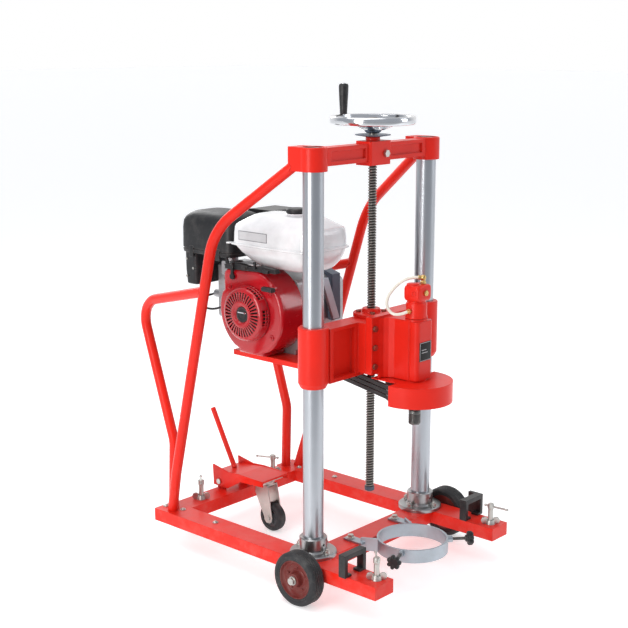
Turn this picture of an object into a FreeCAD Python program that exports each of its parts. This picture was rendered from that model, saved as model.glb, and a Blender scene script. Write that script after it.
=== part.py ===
"""Core drill rig: twin columns on a wheeled base, a screw-fed carriage, a petrol engine and a belt drive.

Every piece is drawn from the "column frame": X to the right, Y to the rear, Z up, with the
origin midway between the columns, level with the underside of the rails.  frame() shifts that to the
part's own origin, which lies on the floor under the middle of the machine.
"""
import FreeCAD, Part
import math
import os
import re
from FreeCAD import Placement, Rotation, Vector

doc = FreeCAD.newDocument("CoreDrillRig")
sheet = doc.addObject("Spreadsheet::Sheet", "dims")

# name: (value, what it is); millimetres and degrees
DIMENSIONS = {
    # where the column frame sits in the part's frame
    "column_y": (-204, "column line, from the part's origin"),
    "rail_base": (75, "underside of the rails above the floor"),
    # base
    "rail_offset": (286, "middle of a side rail from the centre plane"),
    "rail_width": (80, "side rail and cross member width"),
    "rail_height": (40, "side rail and cross member height"),
    "rail_front": (-290, "front end of the rails"),
    "rail_rear": (625, "rear end of the rails"),
    "rail_wall": (4, "wall of the rectangular tube"),
    "crossbar_y": (-16, "middle of the front crossbar"),
    "crossbeam_y": (576, "middle of the rear crossbeam"),
    "tube_radius": (16, "bent side tubes"),
    # columns and top
    "column_offset": (258, "column from the centre plane"),
    "column_radius": (30, "column"),
    "column_wall": (5, "column tube wall"),
    "column_top": (1223, "top of the columns"),
    "flange_radius": (69, "column flange"),
    "flange_thick": (12, "column flange"),
    "collar_radius": (41, "column flange collar"),
    "collar_top": (95, "top of the column flange collar"),
    "flange_bolt_circle": (54, "radius of the flange bolts"),
    "beam_bottom": (1160, "underside of the top crossbeam's bosses"),
    "beam_top": (1227, "top of the top crossbeam's bosses"),
    "boss_radius": (40, "clamp boss round a column"),
    "gap": (0.05, "radial clearance of a sliding or running fit"),
    # feed
    "screw_radius": (13, "lead screw"),
    "screw_bottom": (164, "free lower end of the lead screw"),
    "wheel_z": (1289, "middle of the handwheel rim"),
    "wheel_radius": (125, "handwheel, outside"),
    "rim_width": (20, "handwheel rim, radially"),
    "rim_height": (24, "handwheel rim"),
    "grip_radius": (112, "handwheel grip from the screw's axis"),
    # carriage and head
    "carriage_bottom": (545, "lower end of the sleeves"),
    "carriage_top": (720, "upper end of the sleeves"),
    "sleeve_radius": (44, "carriage sleeve"),
    "web_bottom": (552, "underside of the carriage beam"),
    "web_top": (712, "top of the carriage beam"),
    "web_half": (32, "half depth of the carriage beam"),
    "block_half": (98, "half width of the middle block and the head's flange"),
    "block_front": (-60, "front of the middle block"),
    "spindle_y": (-168, "spindle axis"),
    "spindle_radius": (17.5, "spindle"),
    "nose_bottom": (411, "lower end of the spindle nose"),
    "nose_radius": (18, "spindle nose"),
    "head_half": (37, "half width of the spindle housing"),
    "head_bottom": (546, "lower end of the spindle housing"),
    "head_top": (730, "upper end of the spindle housing"),
    # belt drive
    "belt_bottom": (490, "lower edge of the belts"),
    "belt_pitch": (15, "height of one belt and its groove wall"),
    "belt_height": (12, "width of one belt"),
    "belt_depth": (9, "thickness of one belt"),
    "big_pulley": (84, "outside radius of the belts on the spindle pulley"),
    "small_pulley": (52, "outside radius of the belts on the drive pulley"),
    "guard_radius": (110, "belt guard"),
    "guard_wall": (3, "belt guard sheet"),
    # engine; its crankshaft is level and runs left to right
    "deck_top": (566, "top of the engine platform"),
    "deck_thick": (16, "engine platform"),
    "crank_y": (331, "crankshaft"),
    "crank_z": (701, "crankshaft"),
    "drive_x": (135, "drive pulley shaft from the centre plane"),
    # wheels
    "tyre_radius": (80, "front wheel"),
    "tyre_width": (52, "front wheel"),
    "wheel_y": (-35, "front wheel axle"),
    "wheel_axle_z": (5, "front wheel axle"),
    "caster_radius": (48, "caster wheel"),
    "caster_y": (440, "caster's swivel pin"),
    "caster_trail": (30, "caster wheel ahead of its swivel pin"),
    "hinge_y": (600, "caster platform hinge"),
    "hinge_z": (66, "caster platform hinge"),
    # core guide
    "ring_radius": (107, "guide ring, outside"),
    "ring_wall": (6, "guide ring"),
    "ring_bottom": (18, "lower edge of the guide ring"),
    "ring_top": (58, "upper edge of the guide ring"),
    # levelling screws
    "jack_radius": (8, "levelling screw"),
    "jack_top": (107, "top of a levelling screw"),
}
for row, (alias, (number, note)) in enumerate(DIMENSIONS.items(), start=1):
    sheet.set(f"A{row}", alias)
    sheet.set(f"B{row}", str(number))
    sheet.setAlias(f"B{row}", alias)
    sheet.set(f"C{row}", note)
doc.recompute()

ALIASES = re.compile(r"\b(" + "|".join(DIMENSIONS) + r")\b")
AXES = {
    "z": Rotation(),
    "-z": Rotation(Vector(1, 0, 0), 180),
    "x": Rotation(Vector(0, 1, 0), 90),
    "-x": Rotation(Vector(0, 1, 0), -90),
    "y": Rotation(Vector(1, 0, 0), -90),
    "-y": Rotation(Vector(1, 0, 0), 90),
}
subparts = {}


# ---------------------------------------------------------------- building blocks

def formula(text):
    """A size written with the sheet's names, as an expression."""
    return ALIASES.sub(r"dims.\1", str(text))


def size(text):
    """The number that a size written with the sheet's names comes to."""
    return float(sheet.evalExpression(formula(text)))


def frame(place):
    """A place in the column frame, as expressions in the part's frame."""
    x, y, z = place
    return formula(x), formula(f"column_y + ({y})"), formula(f"rail_base + ({z})")


def point(x, y, z):
    return Vector(*[float(sheet.evalExpression(text)) for text in frame((x, y, z))])


def settle(obj, place, turn=Rotation()):
    """Stand an object at a place, bound to the sheet, with a fixed turn."""
    obj.Placement = Placement(Vector(), turn)
    for letter, text in zip("xyz", frame(place)):
        obj.setExpression(f"Placement.Base.{letter}", text)
    return obj


def new(kind, name, **sizes):
    obj = doc.addObject(kind, name)
    for key, text in sizes.items():
        obj.setExpression(key, formula(text))
    return obj


def block(x, y, z, name="Block"):
    """A box between low and high planes on each axis."""
    obj = new("Part::Box", name, Length=f"({x[1]}) - ({x[0]})", Width=f"({y[1]}) - ({y[0]})",
              Height=f"({z[1]}) - ({z[0]})")
    return settle(obj, (x[0], y[0], z[0]))


def rod(radius, length, place, axis="z", name="Rod"):
    return settle(new("Part::Cylinder", name, Radius=radius, Height=length), place, AXES[axis])


def cone(low, high, length, place, axis="z"):
    return settle(new("Part::Cone", "Cone", Radius1=low, Radius2=high, Height=length), place, AXES[axis])


def ball(radius, place):
    return settle(new("Part::Sphere", "Ball", Radius=radius), place)


def hexagon(across_corners_half, length, place, axis="z"):
    obj = new("Part::Prism", "Hexagon", Circumradius=across_corners_half, Height=length)
    obj.Polygon = 6
    return settle(obj, place, AXES[axis])


def fuse(*pieces):
    obj = doc.addObject("Part::MultiFuse", "Union")
    obj.Shapes = list(pieces)
    return obj


def cut(base, *tools):
    obj = doc.addObject("Part::Cut", "Cut")
    obj.Base = base
    obj.Tool = tools[0] if len(tools) == 1 else fuse(*tools)
    return obj


def group(*pieces):
    """Separate solids that share one node."""
    obj = doc.addObject("Part::Compound", "Group")
    obj.Links = list(pieces)
    return obj


def mirror(piece):
    """The same piece on the other side of the centre plane."""
    obj = doc.addObject("Part::Mirroring", "Mirror")
    obj.Source = piece
    obj.Base = Vector(0, 0, 0)
    obj.Normal = Vector(1, 0, 0)
    return obj


def rounded(piece, radius, along="z"):
    """Round the edges of a box that run along one axis."""
    doc.recompute()
    direction = {"x": Vector(1, 0, 0), "y": Vector(0, 1, 0), "z": Vector(0, 0, 1)}[along]
    edges = []
    for number, edge in enumerate(piece.Shape.Edges, start=1):
        if edge.Curve.TypeId == "Part::GeomLine" and abs(edge.tangentAt(0).dot(direction)) > 0.999:
            edges.append((number, radius, radius))
    obj = doc.addObject("Part::Fillet", "Rounded")
    obj.Base = piece
    obj.Edges = edges
    return obj


def outline_sketch(body, plane, corners):
    """A closed outline in one of a body's own planes, its corners bound to the sheet."""
    sketch = body.newObject("Sketcher::SketchObject", "Outline")
    for feature in body.Origin.OriginFeatures:
        if feature.Role == plane:
            sketch.AttachmentSupport = (feature, "")
    sketch.MapMode = "FlatFace"
    spots = [Vector(size(a), size(b), 0) for a, b in corners]
    for start, end in zip(spots, spots[1:] + spots[:1]):
        sketch.addGeometry(Part.LineSegment(start, end), False)
    count = len(spots)
    for index in range(count):
        sketch.addConstraint(sketcher("Coincident", index, 2, (index + 1) % count, 1))
    for index, (spot, (a, b)) in enumerate(zip(spots, corners)):
        for kind, axis, number, text in (("DistanceX", -2, spot.x, a), ("DistanceY", -1, spot.y, b)):
            if abs(number) < 1e-9:
                sketch.addConstraint(sketcher("PointOnObject", index, 1, axis))
            else:
                place = sketch.addConstraint(sketcher(kind, -1, 1, index, 1, number))
                sketch.setExpression(f"Constraints[{place}]", formula(text))
    return sketch


def sketcher(*settings):
    import Sketcher
    return Sketcher.Constraint(*settings)


def lathe(profile, place, axis="z"):
    """A turned piece: (radius, distance along the axis) corners, from a place along an axis."""
    body = doc.addObject("PartDesign::Body", "Turned")
    sketch = outline_sketch(body, "XZ_Plane", profile)
    turn = body.newObject("PartDesign::Revolution", "Revolution")
    turn.Profile = sketch
    turn.ReferenceAxis = (sketch, ["V_Axis"])
    turn.Angle = 360
    return settle(body, place, AXES[axis])


def plate(corners, thickness, place, plane="z"):
    """A flat piece: an outline padded along an axis. Plane x takes (y, z) corners, y takes (x, z)."""
    body = doc.addObject("PartDesign::Body", "Plate")
    role = {"z": "XY_Plane", "y": "XZ_Plane", "x": "YZ_Plane"}[plane]
    sketch = outline_sketch(body, role, corners)
    pad = body.newObject("PartDesign::Pad", "Pad")
    pad.Profile = sketch
    pad.setExpression("Length", formula(thickness))
    pad.Reversed = plane == "y"
    return settle(body, place)


def ring_of(count, radius, place, make, start=0):
    """Copies of a small piece round a vertical axis."""
    x, y, z = place
    pieces = []
    for index in range(count):
        angle = math.radians(start + index * 360 / count)
        spot_x = f"({x}) + ({radius}) * ({math.cos(angle):.6f})"
        spot_y = f"({y}) + ({radius}) * ({math.sin(angle):.6f})"
        pieces.append(make((spot_x, spot_y, z)))
    return pieces


def bent_tube(points, radius, bends, name):
    """A tube along straight runs joined by tangent arcs."""
    spots = [point(*place) for place in points]
    edges = []
    here = spots[0]
    for corner, after, bend in zip(spots[1:-1], spots[2:], bends):
        inward = (corner - here).normalize()
        outward = (after - corner).normalize()
        reach = bend * math.tan(inward.getAngle(outward) / 2)
        first = corner - inward * reach
        last = corner + outward * reach
        centre_way = (outward - inward).normalize()
        centre = corner + centre_way * math.hypot(bend, reach)
        middle = centre - centre_way * bend
        edges.append(Part.LineSegment(here, first).toShape())
        edges.append(Part.Arc(first, middle, last).toShape())
        here = last
    edges.append(Part.LineSegment(here, spots[-1]).toShape())
    path = Part.Wire(edges)
    section = Part.Wire(Part.makeCircle(radius, spots[0], spots[1] - spots[0]))
    obj = doc.addObject("Part::Feature", name)
    obj.Shape = path.makePipeShell([section], True, False)
    return obj


def keep(node, piece):
    """Name a finished sub-part."""
    piece.Label = node
    subparts[node] = piece
    return piece


def pair(node, piece):
    """A left piece and its mirror image, as two nodes."""
    keep(f"left_{node}", piece)
    keep(f"right_{node}", mirror(piece))


def both(node, piece):
    """A left piece and its mirror image, as two solids of one node."""
    return keep(node, group(piece, mirror(piece)))


# ---------------------------------------------------------------- base frame

def box_section(x, y, z):
    """Rectangular tube with closed ends."""
    inner = []
    for low, high in (x, y, z):
        inner.append((f"({low}) + rail_wall", f"({high}) - rail_wall"))
    return cut(block(x, y, z), block(*inner))


def base_frame():
    rail_inner = "rail_offset - rail_width / 2"
    rail = box_section(("-rail_offset - rail_width / 2", f"-({rail_inner})"), ("rail_front", "rail_rear"),
                       (0, "rail_height"))
    holes = [rod("jack_radius + gap", "rail_height + 2", (-JACK_FRONT[0], JACK_FRONT[1], -1))]
    for x, y in ((-1, 0), (0, 1), (0, -1)):
        spot = (f"-column_offset + ({x}) * flange_bolt_circle", f"({y}) * flange_bolt_circle",
                "rail_height - rail_wall - 1")
        holes.append(rod(5.05, "rail_wall + 2", spot))
    both("side_rails", cut(rail, *holes))

    inside = (f"-({rail_inner})", rail_inner)
    crossbar = box_section(inside, ("crossbar_y - rail_width / 2", "crossbar_y + rail_width / 2"),
                           (0, "rail_height"))
    holes = []
    for side in (-1, 1):
        flange_bolt_x = f"{side} * (column_offset - flange_bolt_circle)"
        for x, y in ((flange_bolt_x, 0), (side * RING_BOLT_X, "crossbar_y")):
            holes.append(rod(5.05, "rail_wall + 2", (x, y, "rail_height - rail_wall - 1")))
    keep("front_crossbar", cut(crossbar, *holes))

    crossbeam = box_section(inside, ("crossbeam_y - rail_width / 2", "crossbeam_y + rail_width / 2"),
                            (0, "rail_height"))
    lugs = []
    for low, high in ((-54, -44), (44, 54)):
        ear = block((low, high), ("hinge_y - 16", "hinge_y + 16"), ("rail_height", "hinge_z"))
        top = rod(16, 10, (low, "hinge_y", "hinge_z"), "x")
        lugs += [ear, top]
    holes = [rod("5 + gap", 110, (-55, "hinge_y", "hinge_z"), "x")]
    for side in (-1, 1):
        spot = (side * JACK_REAR[0], JACK_REAR[1], -1)
        holes.append(rod("jack_radius + gap", "rail_height + 2", spot))
    keep("rear_crossbeam", cut(fuse(crossbeam, *lugs), *holes))


def columns():
    tube = cut(rod("column_radius", "column_top - rail_height", ("-column_offset", 0, "rail_height")),
               rod("column_radius - column_wall", "column_top - rail_height",
                   ("-column_offset", 0, "rail_height")))
    plug = lathe([(0, 0), ("column_radius - column_wall - gap", 0), ("column_radius - column_wall - gap", 12),
                  ("column_radius - 2", 12), ("column_radius - 4", 15), (0, 15)],
                 ("-column_offset", 0, "column_top - 12"))
    keep("columns", group(tube, plug, mirror(tube), mirror(plug)))

    flange = lathe([("column_radius + gap", 0), ("flange_radius", 0), ("flange_radius", "flange_thick - 3"),
                    ("flange_radius - 3", "flange_thick"), ("collar_radius + 4", "flange_thick"),
                    ("collar_radius", "flange_thick + 5"),
                    ("collar_radius", "collar_top - rail_height - 3"),
                    ("collar_radius - 3", "collar_top - rail_height"),
                    ("column_radius + gap", "collar_top - rail_height")],
                   ("-column_offset", 0, "rail_height"))
    holes = ring_of(4, "flange_bolt_circle", ("-column_offset", 0, "rail_height - 1"),
                    lambda spot: rod(5.05, "flange_thick + 2", spot))
    grub = rod(4, 20, ("-column_offset", "-column_radius - 1", "collar_top - 20"), "-y")
    both("column_flanges", cut(flange, grub, *holes))


def top_crossbeam():
    """One casting: a split clamp boss on each column, a ribbed web and the feed screw's bearing boss."""
    height = "beam_top - beam_bottom"
    pieces = []
    tools = []
    for side in (-1, 1):
        centre = f"({side}) * column_offset"
        wide = [f"{centre} + ({x})" for x in sorted((side * 38, side * -26))]
        boss = [(0, 0), ("boss_radius", 0), ("boss_radius", f"{height} - 3"), ("boss_radius - 3", height),
                (0, height)]
        pieces.append(lathe(boss, (centre, 0, "beam_bottom")))
        pieces.append(rounded(block(wide, (0, 64), ("beam_bottom", "beam_top")), 6))
        tools.append(rod("column_radius + gap", f"{height} + 2", (centre, 0, "beam_bottom - 1")))
        tools.append(block((f"{centre} - 3", f"{centre} + 3"), (0, 90), ("beam_bottom - 1", "beam_top + 1")))
        start, end = sorted((side * -27, side * 31))
        tools.append(rod(6.05, end - start, (f"{centre} + ({start})", BEAM_BOLT[0], BEAM_BOLT[1]), "x"))
    pieces.append(block(("-column_offset + 34", "column_offset - 34"), (-22, 22),
                        ("beam_bottom + 12", "beam_top - 4")))
    pieces.append(rounded(block((-47, 47), (-31, 27), ("beam_bottom + 1", "beam_top + 3")), 6))
    pieces.append(rod(21, 14, (0, 0, "beam_top - 1")))
    for side in (-1, 1):
        near, far = sorted((side * 58, side * 208))
        for low, high in ((-23, -16), (16, 23)):
            tools.append(block((near, far), (low, high), ("beam_bottom + 24", "beam_top - 15")))
    tools.append(rod("screw_radius + gap", 120, (0, 0, "beam_bottom - 10")))
    tools.append(rod(6.05, 20, (22, -32, "beam_bottom + 33"), "y"))
    return keep("top_crossbeam", cut(fuse(*pieces), *tools))


def side_tubes(beam):
    """The braces lean outward, clear of the carriage; each push handle ends on its brace."""
    brace = bent_tube([(-278.7, 45, 1178.7), (-347.6, 306.7, 975.6), (-311.4, 533.3, 175),
                       (-297, 572.7, "rail_height - 10")], size("tube_radius"), (220, 90), "BraceTube")
    under = block((-340, -240), (520, 650), ("rail_height - 40", "rail_height"))
    brace = cut(brace, beam, under)
    both("braces", brace)
    handle = bent_tube([(-266, 600.4, "rail_height - 10"), (-264.5, 592, 257), (-268.3, 720.9, 663.3),
                        (-282.3, 659.7, 713.7), (-339, 360, 787)], size("tube_radius"), (90, 75, 95),
                       "HandleTube")
    both("push_handles", cut(handle, brace, under))


def frame_bolts():
    """Flange nuts and studs, crossbeam clamp bolts, the ring's bolts and the rails' dome bolts."""
    solids = []
    for side in (-1, 1):
        centre = f"({side}) * column_offset"
        seat = "rail_height + flange_thick"
        studs = ring_of(4, "flange_bolt_circle", (centre, 0, seat),
                        lambda spot: lathe([(0, -10), (5, -10), (5, 14), (4, 15), (0, 15)], spot))
        nuts = ring_of(4, "flange_bolt_circle", (centre, 0, f"{seat} + 2"),
                       lambda spot: hexagon(8.8, 8, spot))
        washers = ring_of(4, "flange_bolt_circle", (centre, 0, seat), lambda spot: rod(8.8, 2, spot))
        for stud, nut, washer in zip(studs, nuts, washers):
            solids.append(fuse(stud, nut, washer))
        y, z = BEAM_BOLT
        start, end = sorted((side * -30, side * 30))
        shank = rod(6, end - start, (f"{centre} + ({start})", y, z), "x")
        head_x = min(side * -34, side * -26)
        solids.append(fuse(shank, hexagon(10, 8, (f"{centre} + ({head_x})", y, z), "x")))
        bolt_x = f"({side}) * {RING_BOLT_X}"
        top = "rail_height + 6"
        solids.append(fuse(rod(5, 20, (bolt_x, "crossbar_y", "rail_height - 8")),
                           rod(13, 2.5, (bolt_x, "crossbar_y", top)),
                           hexagon(9.2, 8, (bolt_x, "crossbar_y", f"{top} + 2.5"))))
        for x, y in RAIL_BOLTS:
            solids.append(lathe([(0, 0), (9, 0), (9, 2), (6.5, 2), (5.5, 5), (0, 7)],
                                (side * x, y, "rail_height")))
    centre_bolt = fuse(rod(6, 24, (22, -39, "beam_bottom + 33"), "y"),
                       hexagon(11, 8, (22, -31, "beam_bottom + 33"), "-y"))
    keep("frame_bolts", group(*solids, centre_bolt))


# ---------------------------------------------------------------- core guide ring

def guide_ring():
    height = "ring_top - ring_bottom"
    ring = lathe([("ring_radius - ring_wall", 0), ("ring_radius", 0), ("ring_radius", height),
                  ("ring_radius - ring_wall", height)], (0, "spindle_y", "ring_bottom"))
    pieces = [ring]
    for side in (-1, 1):
        strap = [(110, -57), (104, -57), (78, "spindle_y + 69"), (84, "spindle_y + 63")]
        pieces.append(plate([(side * x, y) for x, y in strap], height, (0, 0, "ring_bottom")))
        low, high = sorted((side * 92, side * 122))
        pieces.append(block((low, high), ("crossbar_y - rail_width / 2 - 14", "crossbar_y + 16"),
                            ("rail_height", "rail_height + 6")))
    holes = [rod("ring_radius - ring_wall", 60, (0, "spindle_y", 10))]
    for name, angle in GUIDE_SCREWS.items():
        boss = rod(10, 18, (0, 0, 0), "x")
        hole = rod(5.05, 60, (0, 0, 0), "x")
        pieces.append(radial(boss, angle, "ring_radius - 3"))
        holes.append(radial(hole, angle, "ring_radius - 20"))
    for x in (f"-{RING_BOLT_X}", RING_BOLT_X):
        holes.append(rod(5.05, 10, (x, "crossbar_y", "rail_height - 1")))
    keep("guide_ring", cut(fuse(*pieces), *holes))

    for name, angle in GUIDE_SCREWS.items():
        screw = lathe([(0, 0), (3.5, 0), (5, 2), (5, 72), (0, 72)], (0, 0, 0), "x")
        knob = lathe([(0, 60), (9, 60), (11, 64), (20, 66), (22, 70), (22, 80), (19, 84), (0, 84)],
                     (0, 0, 0), "x")
        flutes = []
        for index in range(6):
            turn = math.radians(60 * index)
            spot = (0, 0, 0)
            flute = rod(7.5, 40, spot, "x")
            flutes.append(radial(flute, angle, "ring_radius - ring_wall + 55.5",
                                 sideways=24.5 * math.cos(turn), up=24.5 * math.sin(turn)))
        radial(screw, angle, "ring_radius - ring_wall + 0.5")
        radial(knob, angle, "ring_radius - ring_wall + 0.5")
        keep(f"{name}_guide_screw", fuse(screw, cut(knob, *flutes)))


def radial(piece, angle, distance, sideways=0, up=0):
    """Lay a piece made along X outward from the guide ring's axis."""
    turn = Rotation(Vector(0, 0, 1), angle) * AXES["x"]
    cosine = math.cos(math.radians(angle))
    sine = math.sin(math.radians(angle))
    place = (f"({distance}) * ({cosine:.6f}) - ({sideways * sine:.6f})",
             f"spindle_y + ({distance}) * ({sine:.6f}) + ({sideways * cosine:.6f})",
             f"{GUIDE_SCREW_Z} + ({up:.6f})")
    return settle(piece, place, turn)


# ---------------------------------------------------------------- carrying and rolling

def lift_handles():
    """A bar bridged over each rail on two legs with inward feet."""
    pieces = []
    front = -190
    rear = -166
    for side, leg_depth in ((-1, 24), (1, 48)):
        outer = side * 337
        inner = side * 245
        low, high = sorted((outer, inner))
        bar = block((low, high), (front, rear), (92, 106))
        legs = []
        for edge, inward, back in ((outer, -side, front + leg_depth), (inner, side, rear)):
            low, high = sorted((edge, edge + inward * 12))
            legs.append(block((low, high), (front, back), ("rail_height", 106)))
            low, high = sorted((edge, edge + inward * 28))
            legs.append(block((low, high), (front, rear), ("rail_height", "rail_height + 7")))
        pieces.append(fuse(bar, *legs))
    keep("lift_handles", group(*pieces))


def front_wheels():
    outer_face = "rail_offset + rail_width / 2"
    base = f"-({outer_face})"
    pad = rounded(block((f"{base} - 5", base), ("wheel_y - 26", "wheel_y + 26"), (-12, 34)), 8, "x")
    stub = rod(10, "tyre_width + 18", (base, "wheel_y", "wheel_axle_z"), "-x")
    washer = rod(13, 3, (f"{base} - 6 - tyre_width - 0.5", "wheel_y", "wheel_axle_z"), "-x")
    nut = hexagon(11.5, 7, (f"{base} - 6 - tyre_width - 3.5", "wheel_y", "wheel_axle_z"), "-x")
    axle = fuse(pad, stub, washer, nut)
    keep("wheel_axles", group(axle, mirror(axle)))

    start = (f"{base} - 6", "wheel_y", "wheel_axle_z")
    tyre = lathe([(57, 4), (68, 0), (75, 2), ("tyre_radius - 1", 10), ("tyre_radius", 16),
                  ("tyre_radius", "tyre_width - 16"), ("tyre_radius - 1", "tyre_width - 10"),
                  (75, "tyre_width - 2"), (68, "tyre_width"), (57, "tyre_width - 4")], start, "-x")
    pair("tyre", tyre)
    disc = lathe([("10 + gap", 0), (20, 0), (20, 14), (46, 8), (56.9, 8), (56.9, "tyre_width - 8"),
                  (53, "tyre_width - 8"), (47, "tyre_width - 13"), (24, 30), (22, 34), (20, "tyre_width"),
                  ("10 + gap", "tyre_width")], start, "-x")
    pair("wheel_disc", disc)


def caster():
    """A hinged platform behind the base, with a swivel caster under its front edge."""
    top = plate([(398, 104), (508, 104), (622, 92), (622, 98), (508, 110), (398, 110)], 114,
                (-57, 0, 0), "x")
    sides = []
    for low in (-62, 57):
        side = plate([(398, 92), (500, 86), (560, 50), (626, 50), (630, 120), (560, 108), (508, 112),
                      (398, 110)], 5, (low, 0, 0), "x")
        sides.append(side)
    hole = rod("5 + gap", 130, (-65, "hinge_y", "hinge_z"), "x")
    keep("caster_platform", cut(fuse(top, *sides), hole))

    lever = bent_tube([(0, 588, 102), (0, 636, 190), (0, 690, 292)], 8.5, (300,), "LeverRod")
    keep("caster_lever", cut(lever, subparts["caster_platform"]))

    pin = fuse(rod(5, 132, (-66, "hinge_y", "hinge_z"), "x"),
               rod(9, 4, (-66.1, "hinge_y", "hinge_z"), "x"),
               rod(9, 4, (62.1, "hinge_y", "hinge_z"), "x"))
    keep("caster_hinge_pin", pin)

    fixed = fuse(rounded(block((-42, 42), ("caster_y - 40", "caster_y + 40"), (100, 104)), 8),
                 rod(24, 8, (0, "caster_y", 92)),
                 rod(6, 34, (0, "caster_y", 70)))
    keep("caster_mount", fixed)

    wheel_y = "caster_y - caster_trail"
    wheel_z = "caster_radius - rail_base"
    crown = cut(fuse(rod(27, 12, (0, "caster_y", 79.6)), cone(20, 27, 8, (0, "caster_y", 71.6))),
                rod("6 + gap", 60, (0, "caster_y", 60)))
    leg = [("caster_y + 27", 83), ("caster_y - 27", 83), (f"{wheel_y} - 18", f"{wheel_z} + 2"),
           (f"{wheel_y} - 16", f"{wheel_z} - 9"), (f"{wheel_y} - 8", f"{wheel_z} - 17"),
           (f"{wheel_y} + 8", f"{wheel_z} - 17"), (f"{wheel_y} + 16", f"{wheel_z} - 9"),
           (f"{wheel_y} + 18", f"{wheel_z} + 2"), ("caster_y + 27", 50)]
    legs = [plate(leg, 4, (low, 0, 0), "x") for low in (-24, 20)]
    bridge = cut(block((-20, 20), ("caster_y - 27", "caster_y + 27"), (79.6, 83)),
                 rod("6 + gap", 60, (0, "caster_y", 60)))
    axle = fuse(rod(5, 56, (-28, wheel_y, wheel_z), "x"), hexagon(9, 4, (-28, wheel_y, wheel_z), "x"),
                hexagon(9, 4, (24, wheel_y, wheel_z), "x"))
    holes = rod(5, 60, (-30, wheel_y, wheel_z), "x")
    keep("caster_fork", group(cut(fuse(crown, bridge, *legs), holes), axle))

    wheel = lathe([("5 + gap", 0), (14, 0), (14, 3), (30, 3), (31, 1), ("caster_radius - 6", 1),
                   ("caster_radius - 1", 5), ("caster_radius", 10), ("caster_radius", 24),
                   ("caster_radius - 1", 29), ("caster_radius - 6", 33), (31, 33), (30, 31), (14, 31),
                   (14, 34), ("5 + gap", 34)], (-17, wheel_y, wheel_z), "x")
    keep("caster_wheel", wheel)


def levelling_screws():
    nuts = []
    spots = {"front_left": (-JACK_FRONT[0], JACK_FRONT[1], 42),
             "front_right": (JACK_FRONT[0], JACK_FRONT[1], -85),
             "rear_left": (-JACK_REAR[0], JACK_REAR[1], 48),
             "rear_right": (JACK_REAR[0], JACK_REAR[1], 115)}
    for name, (x, y, bar_angle) in spots.items():
        foot = cut(lathe([(0, 0), (18, 0), (18, 3), (12, 6.9), (0, 6.9)], (x, y, -8)),
                   rod("5 + gap", 6, (x, y, -5)))
        keep(f"{name}_jack_foot", foot)
        stem = lathe([(0, -4.9), (5, -4.9), (5, 0.5), ("jack_radius", 2.5), ("jack_radius", "jack_top - 18"),
                      ("jack_radius + 2", "jack_top - 16"), ("jack_radius + 2", "jack_top - 2"),
                      ("jack_radius", "jack_top"), (0, "jack_top")], (x, y, 0))
        turn = Rotation(Vector(0, 0, 1), bar_angle)
        bar = new("Part::Cylinder", "TommyBar", Radius="3", Height="75")
        cosine = math.cos(math.radians(bar_angle))
        sine = math.sin(math.radians(bar_angle))
        settle(bar, (f"{x} - 18 * ({cosine:.6f})", f"{y} - 18 * ({sine:.6f})", "jack_top - 9"),
               turn * AXES["x"])
        ends = []
        for reach in (-18, 57):
            ends.append(ball(4.5, (f"{x} + ({reach * cosine:.6f})", f"{y} + ({reach * sine:.6f})",
                                   "jack_top - 9")))
        keep(f"{name}_jack_screw", fuse(stem, bar, *ends))
        hub = lathe([("jack_radius + 0.3", 0), (15, 0), (12, 14), ("jack_radius + 0.3", 14)],
                    (x, y, "rail_height"))
        wings = []
        ear_turn = Rotation(Vector(0, 0, 1), EAR_ANGLE)
        for side in (-1, 1):
            spot = ear_turn.multVec(Vector(side * 18, -2.5, 0))
            wing = new("Part::Cylinder", "Ear", Radius="11", Height="5")
            settle(wing, (f"{x} + ({spot.x:.6f})", f"{y} + ({spot.y:.6f})", "rail_height + 11.3"),
                   ear_turn * AXES["y"])
            wings.append(wing)
        nuts.append(cut(fuse(hub, *wings), rod("jack_radius + 0.3", 40, (x, y, "rail_height"))))
    keep("jack_wing_nuts", group(*nuts))


# ---------------------------------------------------------------- feed screw and handwheel

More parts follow.
